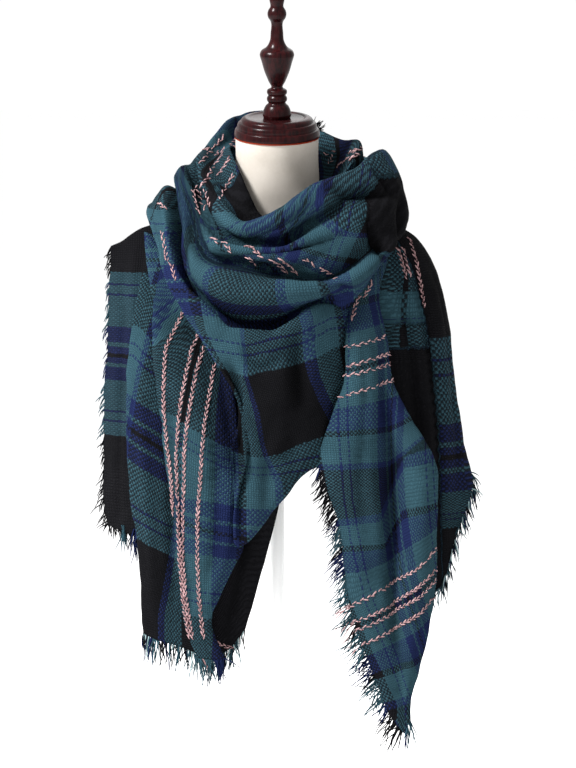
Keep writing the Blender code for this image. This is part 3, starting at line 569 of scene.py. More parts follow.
def yarn_colour(thread, sett, half_repeat):
    """The colour of one yarn of the tartan."""
    place = abs(off_centre(thread, half_repeat))
    return next((colour for end, colour in sett if place <= end), sett[-1][1])


def sett_ramp(material, thread, pitch, sett, half_repeat):
    """Yarn colours of one system of threads, each yarn in one colour."""
    counted = work(material, "FLOOR", work(material, "DIVIDE", thread, pitch * MM))
    middle = work(material, "MULTIPLY", work(material, "ADD", counted, 0.5), pitch * MM)
    place = work(material, "DIVIDE", work(material, "PINGPONG", middle, half_repeat * MM), half_repeat * MM)
    ramp = grow(material, "ShaderNodeValToRGB", {0: place})
    stops = ramp.color_ramp
    stops.interpolation = "CONSTANT"
    start = 0.0
    for k, (end, colour) in enumerate(sett):
        stop = stops.elements[k] if k < 2 else stops.elements.new(min(start, 1.0))
        stop.position = start
        stop.color = (*lit(colour), 1)
        start = end / half_repeat
    return ramp.outputs[0]


def rounded(material, thread, pitch):
    """Each yarn is round: high in the middle, low where it dives under the next."""
    return work(material, "SINE", work(material, "MULTIPLY", thread, math.pi / (pitch * MM)))


def drift(owner, pattern, reach, **settings):
    """A vector that wanders with a noise pattern."""
    wave = grow(owner, "ShaderNodeTexNoise", pattern, **settings).outputs[1]
    wave = grow(owner, "ShaderNodeVectorMath", {0: wave, 1: (0.5, 0.5, 0.5)}, operation="SUBTRACT").outputs[0]
    return scaled(owner, wave, reach)


def tartan_material():
    """Plain weave: warp and weft take turns on top, so two colours that cross give dots of both."""
    material = new_material("tartan_wool", 0.92)
    threads = grow(material, "ShaderNodeUVMap", uv_map="threads").outputs[0]
    place = grow(material, "ShaderNodeTexCoord").outputs["Object"]
    sway = drift(material, {"Vector": place, "Scale": 160.0, "Detail": 2.0}, YARN_SWAY * MM)
    threads = grow(material, "ShaderNodeVectorMath", {0: threads, 1: sway}, operation="ADD").outputs[0]
    across, along = grow(material, "ShaderNodeSeparateXYZ", {0: threads}).outputs[:2]
    warp = sett_ramp(material, across, WARP_PITCH, WARP_SETT, WARP_CENTRE_TO_CENTRE)
    weft = sett_ramp(material, along, WEFT_PITCH, WEFT_SETT, WEFT_CENTRE_TO_CENTRE)
    crossing = work(material, "MULTIPLY", rounded(material, across, WARP_PITCH),
                    rounded(material, along, WEFT_PITCH))
    fuzz = work(material, "SUBTRACT", speckle(material, place, 520.0, 3.0), 0.5)
    uneven = work(material, "MULTIPLY_ADD", fuzz, 2.2, crossing)
    turn = stretched(material, uneven, -0.45, 0.45, interpolation_type="SMOOTHSTEP")
    nap = grow(material, "ShaderNodeAttribute", attribute_name="nap").outputs["Fac"]
    turn = grow(material, "ShaderNodeMix", {0: nap, 2: turn, 3: 0.5}, data_type="FLOAT").outputs[0]
    colour = blend_colours(material, turn, warp, weft)
    fibre = speckle(material, place, 1500.0, 4.0)
    height = work(material, "MULTIPLY_ADD", fibre, 0.5, work(material, "ABSOLUTE", crossing))
    patches = work(material, "MULTIPLY_ADD", speckle(material, place, 30.0, 3.0), 0.5, 0.75)
    # Painted light and shade: yarn crowns are lightened and the dips between yarns darkened; the patches are
    # random tone
    shade = work(material, "MULTIPLY", stretched(material, height, 0.1, 1.2, 0.66, 1.22), patches)
    # Painted shade: the cloth's colour is darkened in the troughs of the folds, where shade falls
    painted_crease_shade = grow(material, "ShaderNodeAttribute", attribute_name="painted_crease_shade").outputs["Fac"]
    shade = work(material, "MULTIPLY", shade, work(material, "MULTIPLY_ADD", painted_crease_shade, -0.5, 1.0))
    finish_shader(material, scaled(material, colour, shade), height, 0.0009, Specular_IOR_Level=0.02)
    return material


def one_stitch(stitch, spot, along, facing):
    """Place, slant and facing of a stitch, which leans to one side of its chain or to the other."""
    aside = np.cross(facing, along) * (1.0 if stitch % 2 else -1.0)
    return spot + STITCH_ASIDE * aside + STITCH_LIFT * facing, along - STITCH_SLANT * aside, facing


def woven_stitches(sheet):
    """The stitches of the pink chains where they follow the warp, behind the depth that is given."""
    grid, facing, warp, weft = (sheet[key] for key in ("face", "facing", "warp", "weft"))
    behind = sheet.get("chains_behind", -math.inf)
    found = []
    for chain in PINK_CHAINS:
        off = off_centre(warp - chain, WARP_CENTRE_TO_CENTRE)
        corners = np.stack([off[:-1, :-1], off[1:, :-1], off[:-1, 1:], off[1:, 1:]])
        crossed = (corners.min(axis=0) <= 0) & (corners.max(axis=0) > 0)
        crossed &= (np.ptp(corners, axis=0) < WIDEST_SQUARE) & (grid[:-1, :-1, 1] >= behind)
        for i, j in zip(*np.nonzero(crossed)):
            spots = np.array([grid[i, j], grid[i + 1, j], grid[i, j + 1]])
            over = np.array([[off[i + 1, j] - off[i, j], off[i, j + 1] - off[i, j]],
                             [weft[i + 1, j] - weft[i, j], weft[i, j + 1] - weft[i, j]]])
            # Warp and weft can't be told apart where they are drawn nearly parallel
            if abs(np.linalg.det(over)) < 0.02:
                continue
            way = np.linalg.solve(over, (0.0, 1.0))
            along = way[0] * (spots[1] - spots[0]) + way[1] * (spots[2] - spots[0])
            along /= np.linalg.norm(along)
            first = math.ceil((weft[i, j] - STITCH_REACH) / STITCH_PITCH)
            last = math.floor((weft[i, j] + STITCH_REACH) / STITCH_PITCH)
            for stitch in range(first, last + 1):
                u, v = np.linalg.solve(over, (-off[i, j], stitch * STITCH_PITCH - weft[i, j]))
                if 0 <= u < 1 and 0 <= v < 1:
                    spot = spots[0] + u * (spots[1] - spots[0]) + v * (spots[2] - spots[0])
                    found.append(one_stitch(stitch, spot, along, facing[i, j]))
    return found


def drawn_stitches(sheet):
    """The stitches of runs that are drawn as points (x, height), where a chain comes out of the folds."""
    # A run lies only on cloth that faces the front or the sides
    seen = sheet["facing"][:, :, 1] < 0.15
    spots, ways = sheet["face"][seen], sheet["facing"][seen]
    found = []
    for path in sheet.get("runs", ()):
        path = np.array(path, dtype=float)
        run = running_length(path)
        for stitch, place in enumerate(np.arange(RUN_START, run[-1], RUN_PITCH)):
            (x, height), ahead, behind = (np.array([np.interp(spot, run, path[:, axis]) for axis in range(2)])
                                          for spot in (place, place + RUN_PITCH / 2, place - RUN_PITCH / 2))
            distance = np.hypot(spots[:, 0] - x, spots[:, 2] - height)
            if distance.min() > RUN_REACH:
                continue
            near = np.nonzero(distance < RUN_REACH + 0.5)[0]
            k = near[spots[near, 1].argmin()]
            facing = ways[k]
            along = np.insert(ahead - behind, 1, 0.0)
            along -= facing * (along @ facing)
            along /= np.linalg.norm(along)
            off = np.array([x, spots[k, 1], height]) - spots[k]
            found.append(one_stitch(stitch, spots[k] + off - facing * (off @ facing), along, facing))
    return found


def run_nodes(name, points, facts, tree, values):
    """Runs a Geometry Nodes tree on root points and keeps the plain mesh that it makes."""
    mesh = bpy.data.meshes.new(name + "_roots")
    mesh.from_pydata((points * MM).tolist(), [], [])
    for label, (kind, field, numbers) in facts.items():
        layer = mesh.attributes.new(label, kind, "POINT")
        layer.data.foreach_set(field, np.asarray(numbers, dtype=np.float32).ravel())
    piece = bpy.data.objects.new(name, mesh)
    bpy.context.collection.objects.link(piece)
    modifier = piece.modifiers.new("nodes", "NODES")
    modifier.node_group = tree
    for item in tree.interface.items_tree:
        if item.in_out == "INPUT" and item.name in values:
            modifier[item.identifier] = values[item.name]
    evaluated = piece.evaluated_get(bpy.context.evaluated_depsgraph_get())
    made = bpy.data.meshes.new_from_object(evaluated)
    piece.modifiers.remove(modifier)
    piece.data = made
    made.name = name
    return piece


def new_tree(name, inputs):
    """A Geometry Nodes tree with its inputs, and the sockets of those inputs by name."""
    tree = bpy.data.node_groups.new(name, "GeometryNodeTree")
    tree.interface.new_socket("Roots", in_out="INPUT", socket_type="NodeSocketGeometry")
    for label, value in inputs.items():
        kind = "NodeSocketInt" if isinstance(value, int) else "NodeSocketFloat"
        tree.interface.new_socket(label, in_out="INPUT", socket_type=kind).default_value = value
    tree.interface.new_socket("Mesh", in_out="OUTPUT", socket_type="NodeSocketGeometry")
    return tree, grow(tree, "NodeGroupInput").outputs


def named(tree, label, kind):
    return grow(tree, "GeometryNodeInputNamedAttribute", {"Name": label}, data_type=kind).outputs[0]


def close_tree(tree, mesh, material):
    """Smooth shading, the material and the output."""
    smooth = grow(tree, "GeometryNodeSetShadeSmooth", {"Geometry": mesh}).outputs[0]
    dressed = grow(tree, "GeometryNodeSetMaterial", {"Geometry": smooth, "Material": material}).outputs[0]
    grow(tree, "NodeGroupOutput", {"Mesh": dressed})


def planted(tree, roots, shape, turn, size):
    """A copy of the shape on every root, turned, scaled and made real."""
    copies = grow(tree, "GeometryNodeInstanceOnPoints",
                  {"Points": roots, "Instance": shape, "Rotation": turn, "Scale": size}).outputs[0]
    return grow(tree, "GeometryNodeRealizeInstances", {0: copies}).outputs[0]


def stitch_tree(material):
    """A fat slanted stitch of pink wool on every point, each a little different."""
    tree, given = new_tree("pink_stitches",
                           {"Length": 0.0088, "Radius": 0.00108, "Uneven": 0.0004, "Seed": 4})
    ball = grow(tree, "GeometryNodeMeshUVSphere", {"Segments": 6, "Rings": 5, "Radius": 1.0}).outputs[0]
    half = work(tree, "MULTIPLY", given["Length"], 0.5)
    size = grow(tree, "ShaderNodeCombineXYZ", {0: given["Radius"], 1: given["Radius"], 2: half}).outputs[0]
    turn = grow(tree, "FunctionNodeAxesToRotation", {0: named(tree, "slant", "FLOAT_VECTOR"),
                                                     1: named(tree, "facing", "FLOAT_VECTOR")},
                primary_axis="Z", secondary_axis="Y").outputs[0]
    vary = grow(tree, "FunctionNodeRandomValue", {2: 0.75, 3: 1.15, "Seed": given["Seed"]}).outputs[1]
    real = planted(tree, given["Roots"], ball, turn, scaled(tree, size, vary))
    spot = grow(tree, "GeometryNodeInputPosition").outputs[0]
    wave = drift(tree, {"Vector": spot, "Scale": 300.0}, work(tree, "MULTIPLY", given["Uneven"], 4.0))
    moved = grow(tree, "GeometryNodeSetPosition", {"Geometry": real, "Offset": wave}).outputs[0]
    close_tree(tree, moved, material)
    return tree


def pink_material():
    material = new_material("pink_wool", 0.9)
    place = grow(material, "ShaderNodeTexCoord").outputs["Object"]
    tone = stretched(material, speckle(material, place, 340.0, 2.0), 0.38, 0.68)
    mixed = blend_colours(material, tone, PINK, PINK_SHADE)
    finish_shader(material, mixed, speckle(material, place, 1300.0, 3.0), 0.0005, Specular_IOR_Level=0.15)
    return material


def strand_tree(material):
    """A loose strand of wool from every root, wavy, sagging and thinner toward its end."""
    tree, given = new_tree("fringe_strands", {"Sag": 0.006, "Curl": 0.004, "Radius": 0.0009, "Seed": 1})
    line = grow(tree, "GeometryNodeCurvePrimitiveLine", {"Start": (0, 0, 0), "End": (0, 0, 1)}).outputs[0]
    line = grow(tree, "GeometryNodeResampleCurve", {"Curve": line, "Count": 9}).outputs[0]
    turn = grow(tree, "FunctionNodeAlignRotationToVector", {"Vector": named(tree, "way", "FLOAT_VECTOR")},
                axis="Z").outputs[0]
    size = grow(tree, "ShaderNodeCombineXYZ", {0: 1.0, 1: 1.0, 2: named(tree, "reach", "FLOAT")}).outputs[0]
    lines = planted(tree, given["Roots"], line, turn, size)
    share = grow(tree, "GeometryNodeSplineParameter").outputs[0]
    squared = work(tree, "POWER", share, 2.0)
    spot = grow(tree, "GeometryNodeInputPosition").outputs[0]
    curl = work(tree, "MULTIPLY", given["Curl"], 4.0)
    grown = work(tree, "MULTIPLY", work(tree, "POWER", share, 0.7), curl)
    waves = drift(tree, {"Vector": spot, "W": given["Seed"], "Scale": 48.0, "Detail": 0.5}, grown,
                  noise_dimensions="4D")
    fall = work(tree, "MULTIPLY", squared, work(tree, "MULTIPLY", given["Sag"], -1.0))
    hang = grow(tree, "ShaderNodeCombineXYZ", {0: 0.0, 1: 0.0, 2: fall}).outputs[0]
    offset = grow(tree, "ShaderNodeVectorMath", {0: waves, 1: hang}, operation="ADD").outputs[0]
    bent = grow(tree, "GeometryNodeSetPosition", {"Geometry": lines, "Offset": offset}).outputs[0]
    ring = grow(tree, "GeometryNodeCurvePrimitiveCircle",
                {"Resolution": 5, "Radius": given["Radius"]}).outputs[0]
    thin = work(tree, "MULTIPLY_ADD", squared, -0.65, 1.0)
    tubes = grow(tree, "GeometryNodeCurveToMesh", {"Curve": bent, "Profile Curve": ring, "Scale": thin,
                                                   "Fill Caps": True}).outputs[0]
    close_tree(tree, tubes, material)
    return tree


def fringe_material():
    """Raw yarn in the colour of the band that it leaves."""
    material = new_material("fringe_wool", 0.92)
    wool = grow(material, "ShaderNodeAttribute", attribute_name="wool").outputs["Color"]
    place = grow(material, "ShaderNodeTexCoord").outputs["Object"]
    fibre = speckle(material, place, 1400.0, 3.0)
    colour = scaled(material, wool, work(material, "MULTIPLY_ADD", fibre, 0.9, 0.5))
    finish_shader(material, colour, fibre, 0.0004, Specular_IOR_Level=0.02)
    return material


def dyed(colour, random):
    """The colour of one strand, a little lighter or darker than its yarn."""
    return (*(np.array(lit(colour)) * random.uniform(0.7, 1.25)), 1.0)


def strand_roots(sheet, side, thread, reach, seed, drop=0.6, fan=0.35, spacing=2.6, high=math.inf, mixed=()):
    """Roots of the strands along one side of a stretch: places, ways, lengths and colours."""
    middle, numbers = sheet["grid"] - sheet["normals"] * CLOTH / 2, sheet[thread]
    if side in ("top", "bottom"):
        middle, numbers = middle.transpose(1, 0, 2), numbers.T
    index, within = (0, 2) if side in ("first", "top") else (-1, -3)
    edge, away, numbers = middle[index], middle[index] - middle[within], numbers[index]
    run = running_length(edge)
    random = np.random.default_rng(seed)
    places = np.arange(spacing / 2, run[-1], spacing)
    places = np.clip(places + random.uniform(-0.45, 0.45, len(places)) * spacing, 0, run[-1])
    roots = np.stack([np.interp(places, run, edge[:, axis]) for axis in range(3)], axis=1)
    ways = np.stack([np.interp(places, run, away[:, axis]) for axis in range(3)], axis=1)
    ways = ways / np.linalg.norm(ways, axis=1, keepdims=True) + (0, 0, -drop)
    ways += random.normal(0, fan, ways.shape)
    lengths = np.interp(places / run[-1], np.linspace(0, 1, len(reach)), reach)
    lengths *= random.uniform(0.55, 1.15, len(places))
    wool = []
    for number in np.interp(places, run, numbers):
        if mixed:
            colour = mixed[random.integers(len(mixed))]
        elif thread == "warp":
            colour = yarn_colour(number, WARP_SETT, WARP_CENTRE_TO_CENTRE)
            off = off_centre(number, WARP_CENTRE_TO_CENTRE)
            if min(abs(off - chain) for chain in PINK_CHAINS) < 2.4:
                colour = PINK
        else:
            colour = yarn_colour(number, WEFT_SETT, WEFT_CENTRE_TO_CENTRE)
        wool.append(dyed(colour, random))
    kept = roots[:, 2] < high
    return [np.asarray(field)[kept] for field in (roots, ways, lengths, wool)]


def tuft(sheet, spot, spread, count, reach, way, colour, seed):
    """Strands that leave a stretch together, around one spot given as (line, place) numbers."""
    random = np.random.default_rng(seed)
    picked = []
    for number, knots, found in zip(spot, ("across", "along"), ("rows", "places")):
        middle = np.interp(number, range(len(sheet[knots])), sheet[knots])
        where = middle + random.uniform(-spread, spread, count)
        picked.append(np.abs(sheet[found][None, :] - where[:, None]).argmin(axis=1))
    roots = sheet["face"][tuple(picked)] + random.uniform(-1.0, 1.0, (count, 3))
    ways = np.array(way) + random.normal(0, 0.25, (count, 3))
    wool = np.array([dyed(colour, random) for _ in range(count)])
    return [roots, ways, reach * random.uniform(0.6, 1.15, count), wool]


def add_fringe(name, nodes, groups, seed, sag=6.0, curl=3.0, radius=0.95):
    """One fringe: all its strands as one mesh that stands for the CAD fringe."""
    roots, ways, lengths, wool = (np.concatenate(fields) for fields in zip(*groups))
    facts = {"way": ("FLOAT_VECTOR", "vector", ways), "reach": ("FLOAT", "value", lengths * MM),
             "wool": ("FLOAT_COLOR", "color", wool)}
    values = {"Sag": sag * MM, "Curl": curl * MM, "Radius": radius * MM, "Seed": seed}
    piece = run_nodes(name, roots, facts, strands, values)
    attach(piece, "root")
    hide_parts(*nodes)
    return piece.name


def place_cloth(name, sheet, nodes, with_pieces=()):
    """Makes a stretch's wall and its chains."""
    found = woven_stitches(sheet) + drawn_stitches(sheet)
    if found:
        points, slants, facings = (np.array(part) for part in zip(*found))
        facts = {"slant": ("FLOAT_VECTOR", "vector", slants), "facing": ("FLOAT_VECTOR", "vector", facings)}
        chain = run_nodes(name + "_chains", points, facts, stitches, {"Seed": len(points)})
        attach(chain, "root")
        with_pieces = [*with_pieces, chain.name]
    piece = weave_wall(name, sheet, tartan)
    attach(piece, "root")
    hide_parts(*nodes)


tartan = tartan_material()
stitches = stitch_tree(pink_material())
strands = strand_tree(fringe_material())
cowl = loft(COWL, COWL_FOLDS, flip=True)
line_numbers = np.interp(cowl["rows"], cowl["across"], range(len(cowl["across"])))[:, None]
place_numbers = np.interp(cowl["places"], cowl["along"], range(len(cowl["along"])))[None, :]
cowl_heights = cowl["grid"][:, :, 2]
black = (line_numbers > BLACK_FOLD[0][0]) & (place_numbers > np.interp(line_numbers, *zip(*BLACK_FOLD)))
black &= (place_numbers < BLACK_FOLD_END) & (cowl_heights < BLACK_FOLD_TOP)
last_line, first_place, last_place = INNER_BLACK
black |= (line_numbers < last_line) & (place_numbers > first_place) & (place_numbers < last_place)
below = (cowl["rows"] > cowl["across"][TUCK_LINE] + 1.0)[:, None]
for field, above_table, below_table in (("warp", COWL_WARP, COWL_WARP_BELOW),
                                        ("weft", COWL_WEFT, COWL_WEFT_BELOW)):
    upper = dict(above_table, line=above_table["line"] + (above_table["line"][-1],) * 3)
    lower = dict(below_table, line=(below_table["line"][0],) * TUCK_LINE + below_table["line"][1:])
    threads = np.where(below, count_threads(cowl, lower), count_threads(cowl, upper))
    black_threads = BLACK_THREADS[field] + 4.0 * line_numbers + 4.0 * (place_numbers - 8.0)
    cowl[field] = np.where(black, black_threads, threads)
first_line, first_place, lowest, thread, counted_off = TEAL_SHOULDER
teal = (line_numbers > first_line) & (place_numbers > first_place) & (place_numbers < BLACK_FOLD_END)
teal_threads = thread - counted_off * (cowl_heights - lowest)
cowl["weft"] = np.where(teal & (cowl_heights > lowest), teal_threads, cowl["weft"])
cowl["chains_behind"], cowl["runs"] = 10.0, COWL_RUNS
place_cloth("cowl", cowl, ("cowl_front",))


# ---- The collar ---------------------------------------------------------------------------------
# The same wraps carried on behind the neck, where they stand up as a soft rolled collar. An edge of
# the cloth ends there, with black and pink threads that stand out. It leans on the neck and the cowl.
COLLAR = {
    "foot": [(70, 852, 34), (70, 864, -2), (58, 868, -34), (36, 872, -52), (0, 880, -62), (-34, 902, -55),
             (-57, 919, -38), (-63, 922, -14)],
    "inside": [(78, 866, 33), (84, 890, -6), (72, 896, -42), (40, 914, -68), (0, 926, -76), (-38, 934, -70),
               (-65, 928, -47), (-80, 912, -21)],
    "rim": [(100, 898, 28), (110, 928, -10), (88, 929, -54), (56, 940, -78), (4, 965, -92), (-38, 966, -84),
            (-68, 956, -56), (-98, 918, -22)],
    "outer": [(108, 880, 22), (121, 900, -14), (101, 902, -72), (58, 914, -104), (0, 920, -116),
              (-48, 922, -106), (-88, 912, -74), (-119, 893, -30)],
    "lower": [(103, 856, 15), (112, 864, -20), (102, 864, -84), (62, 860, -118), (0, 860, -130),
              (-58, 862, -122), (-106, 866, -88), (-132, 866, -31)],
}
COLLAR_SLIDE = -1.5
COLLAR_FOLDS = (
    ([(2.6, 1.0), (3.0, 2.2), (3.4, 3.4)], 9, -7),
    ([(3.2, 3.6), (2.9, 4.8), (3.2, 6.0)], 9, -8),
    ([(2.2, 5.4), (2.6, 6.2), (3.2, 6.8)], 7, -6),
    ([(2.2, 2.6), (2.5, 3.6), (2.3, 4.4)], 8, 4),
)
COLLAR_WARP = {"place": (-395, -350, -302, -262, -205, -150, -72, -41), "line": (60, 33, 0, 0, -35)}
COLLAR_WEFT = {"place": (520, 470, 425, 385, 330, 285, 240, 180), "line": (62, 50, 38, 16, -30)}
collar = loft(COLLAR, COLLAR_FOLDS, slide=COLLAR_SLIDE, seed=3.0)
collar["warp"] = count_threads(collar, COLLAR_WARP)
collar["weft"] = count_threads(collar, COLLAR_WEFT)
collar_fringe = add_fringe("collar_fringe", ("fringe_collar",), [
    tuft(collar, (2.0, 3.1), 6.0, 24, 15.0, (0.8, 0.0, 0.6), BLACK, 31),
    tuft(collar, (1.2, 2.2), 9.0, 12, 11.0, (0.3, -0.6, -0.2), PINK, 32)], 31, sag=1.0, curl=4.0, radius=0.75)
collar["chains_behind"] = math.inf
collar["runs"] = (((-55, 932), (-76, 915)), ((-52, 926), (-66, 908)), ((-50, 905), (-60, 886)),
                  ((-72, 934), (-86, 920)), ((80, 896), (92, 904)), ((90, 905), (111, 911)),
                  ((96, 915), (118, 919)))
place_cloth("collar", collar, ("collar_back",), [collar_fringe])


# ---- The swag -----------------------------------------------------------------------------------
# The outermost wrap, hanging in a deep curve below the cowl from the wearer's right shoulder to the
# tail. Its lip is turned over softly and its lower edge is a turned fold.
SWAG = {
    "behind_shoulder": [(-128, 857, -28), (-141, 857, -36), (-147, 850, -37), (-152, 842, -36),
                        (-156, 833, -31), (-153, 827, -25)],
    "shoulder": [(-136, 861, 10), (-151, 866, 14), (-160, 856, 12), (-168, 845, 9), (-173, 833, 3),
                 (-168, 827, -3)],
    "upper_ridge": [(-127, 798, 52), (-147, 811, 79), (-153, 808, 80), (-159, 803, 74), (-160, 796, 64),
                    (-154, 791, 57)],
    "ridge": [(-105, 722, 93), (-126, 741, 130), (-131, 737, 133), (-136, 732, 129), (-137, 725, 118),
              (-131, 721, 111)],
    "lower_ridge": [(-81, 688, 107), (-94, 706, 150), (-99, 698, 155), (-106, 688, 151), (-108, 680, 141),
                    (-102, 676, 134)],
    "ridge_end": [(-64, 664, 121), (-68, 684, 162), (-70, 668, 166), (-73, 645, 163), (-73, 622, 154),
                  (-67, 617, 148)],
    "soft_crease": [(-44, 655, 123), (-46, 679, 167), (-47, 640, 171), (-50, 600, 168), (-52, 556, 158),
                    (-47, 552, 149)],
    "dark_stripe": [(-25, 651, 125), (-26, 676, 170), (-30, 605, 172), (-40, 500, 163), (-50, 388, 151),
                    (-47, 392, 142)],
    "middle": [(-4, 651, 125), (-4, 676, 171), (-4, 600, 172), (-11, 510, 162), (-21, 417, 150),
               (-19, 421, 141)],
    "beside": [(28, 663, 123), (26, 694, 167), (24, 615, 168), (18, 540, 159), (10, 455, 148),
               (12, 460, 139)],
    "near_tail": [(56, 684, 115), (55, 711, 158), (56, 640, 156), (52, 568, 149), (43, 490, 141),
                  (44, 496, 132)],
    "under_tail": [(100, 694, 92), (106, 702, 104), (110, 650, 112), (106, 574, 114), (92, 500, 114),
                   (90, 507, 108)],
}
SWAG_FOLDS = (
    ([(5.4, 2.8), (6.0, 3.4), (6.4, 4.2)], 15, -14),
    ([(9.0, 1.4), (9.3, 2.6)], 12, -11),
    ([(6.6, 2.8), (6.9, 3.4), (7.1, 3.9)], 7, -8),
    ([(2.6, 1.5), (3.8, 1.6), (5.0, 1.9)], 11, 4),
    ([(6.0, 1.5), (7.2, 1.7), (8.4, 1.5)], 8, -6),
    ([(7.6, 2.6), (8.0, 3.2), (8.2, 3.8)], 10, -6),
    ([(5.6, 1.9), (6.4, 2.5), (7.6, 2.9), (9.2, 3.0)], 12, 5),
    ([(6.4, 1.2), (7.6, 1.25), (9.0, 1.2)], 9, 4),
)
SWAG_RUNS = (
    ((-162, 848), (-149, 837)), ((-158, 810), (-153, 793)), ((-154, 792), (-149, 770)),
    ((-143, 768), (-137, 746)),
)
SWAG_SLIDE = 0.34
# Threads of the front panels drawn where they lie: thread number, then points (x, height) along it
FRONT_WEFT = {
    33: [(-96, 698), (-40, 690), (35, 708), (71, 722)],
    71: [(-96, 673), (-40, 663), (35, 681), (71, 698)],
    88: [(-92, 652), (-40, 644), (35, 661), (71, 679)],
    105: [(-83, 631), (-40, 618), (39, 636), (78, 655)],
    225: [(-170, 578), (-157, 570), (-137, 561), (-117, 546), (-96, 534), (-74, 522), (-43, 511),
          (-20, 509), (4, 514), (31, 527), (60, 535), (91, 545)],
    259: [(-163, 547), (-143, 531), (-117, 515), (-96, 503), (-74, 491), (-50, 486), (-20, 483),
          (4, 484), (31, 487), (60, 491)],
    297: [(-150, 462), (-123, 452), (-103, 450), (-83, 446), (-50, 440), (-3, 439)],
    330: [(-137, 423), (-123, 418), (-103, 411), (-83, 404), (-50, 399), (-9, 396)],
    363: [(-133, 381), (-117, 376), (-96, 375), (-74, 371), (-50, 367)],
    401: [(-127, 333), (-103, 328), (-76, 325)],
    435: [(-125, 294), (-103, 290), (-83, 289)],
}
SWAG_WARP = {
    52: [(-150, 719), (-137, 679), (-117, 652), (-96, 620), (-83, 552), (-83, 474)],
    84: [(-117, 719), (-103, 679), (-87, 652), (-70, 620), (-52, 569), (-50, 474)],
    93: [(-103, 719), (-94, 679), (-82, 652), (-63, 620), (-47, 569), (-42, 511), (-40, 474)],
    130: [(-66, 719), (-50, 679), (-46, 652), (-44, 620), (-31, 569), (-25, 531), (-20, 511), (-3, 474)],
    141: [(-55, 719), (-43, 679), (-40, 652), (-39, 620), (-23, 569), (-17, 531), (-11, 511), (8, 474)],
    241: [(25, 719), (35, 679), (35, 652), (42, 620), (55, 585), (72, 552), (91, 511), (111, 474)],
    252: [(42, 719), (50, 679), (50, 652), (56, 620), (70, 585), (87, 552), (106, 511)],
    289: [(74, 719), (82, 679), (84, 652), (91, 620), (105, 585), (122, 552)],
}
SIDE_START = 80.0                   # depth in front of the axis where the cloth starts to turn to the side


def unrolled(grid):
    """Distance from the middle, with the part of the cloth that turns to the side laid out flat."""
    x, depth = grid[:, :, 0], grid[:, :, 1]
    return x + np.sign(x) * np.maximum(0.0, depth + SIDE_START)


def read_threads(chart, seek, level, along_x):
    """Thread numbers of points from the threads drawn through them."""
    numbers = sorted(chart)
    crossings = []
    for number in numbers:
        line = sorted((x, height) if along_x else (height, x) for x, height in chart[number])
        crossings.append(np.interp(level, [point[0] for point in line], [point[1] for point in line]))
    if np.mean(crossings[-1]) < np.mean(crossings[0]):
        seek, crossings = -seek, [-crossing for crossing in crossings]
    threads = numbers[0] + np.minimum(seek - crossings[0], 0.0)
    for k in range(len(numbers) - 1):
        share = (seek - crossings[k]) / np.maximum(crossings[k + 1] - crossings[k], 1.0)
        threads = threads + np.clip(share, 0.0, 1.0) * (numbers[k + 1] - numbers[k])
    return threads + np.maximum(seek - crossings[-1], 0.0)


def read_both(sheet, warp_chart, weft_chart, warp_level=False):
    """Warp and weft numbers of a hanging panel. Its warp hangs down, or lies level across it."""
    sideways, height = unrolled(sheet["grid"]), sheet["grid"][:, :, 2]
    if warp_level:
        sheet["warp"] = read_threads(warp_chart, height, sideways, True)
        sheet["weft"] = read_threads(weft_chart, sideways, height, False)
    else:
        sheet["warp"] = read_threads(warp_chart, sideways, height, False)
        sheet["weft"] = read_threads(weft_chart, height, sideways, True)


swag = loft(SWAG, SWAG_FOLDS, slide=SWAG_SLIDE, seed=5.0)
read_both(swag, SWAG_WARP, FRONT_WEFT)
swag["chains_behind"], swag["runs"] = math.inf, SWAG_RUNS
place_cloth("swag", swag, ("swag_front",))


# ---- The front apron ----------------------------------------------------------------------------
# The pointed panel that hangs from the wearer's right shoulder down the front. It is the corner of the
# cloth, folded under along its left, with the four pink chains running down to a short fringe.
APRON = {
    "left_turn": [(-168, 802, 32), (-168, 768, 50), (-161, 716, 76), (-157, 655, 96), (-148, 569, 116),
                  (-141, 506, 124), (-130, 442, 129), (-125, 371, 131), (-116, 320, 130), (-113, 278, 128),
                  (-100, 240, 125)],
    "left_edge": [(-178, 806, 40), (-176, 770, 58), (-169, 716, 84), (-166, 655, 104), (-157, 569, 124),
                  (-150, 506, 132), (-139, 442, 137), (-134, 371, 139), (-125, 320, 138), (-122, 278, 135),
                  (-106, 236, 131)],
    "pink_bands": [(-164, 794, 44), (-161, 764, 68), (-150, 708, 94), (-138, 650, 114), (-130, 569, 134),
                   (-126, 506, 142), (-118, 442, 146), (-114, 371, 147), (-112, 320, 145), (-112, 278, 141),
                   (-98, 234, 136)],
    "middle": [(-150, 786, 46), (-144, 758, 73), (-126, 700, 100), (-108, 648, 122), (-96, 569, 139),
               (-90, 506, 146), (-86, 442, 148), (-88, 371, 149), (-100, 320, 146), (-103, 278, 142),
               (-88, 233, 137)],
    "right_edge": [(-138, 779, 52), (-127, 748, 74), (-104, 690, 100), (-76, 645, 124), (-58, 569, 136),
                   (-54, 506, 137), (-53, 442, 135), (-54, 374, 132), (-78, 320, 138), (-93, 280, 140),
                   (-76, 233, 135)],
    "right_turn": [(-131, 774, 49), (-121, 743, 68), (-97, 686, 94), (-69, 642, 118), (-51, 569, 130),
                   (-47, 506, 131), (-46, 442, 129), (-48, 380, 126), (-80, 324, 132), (-90, 281, 135),
                   (-73, 234, 130)],
}
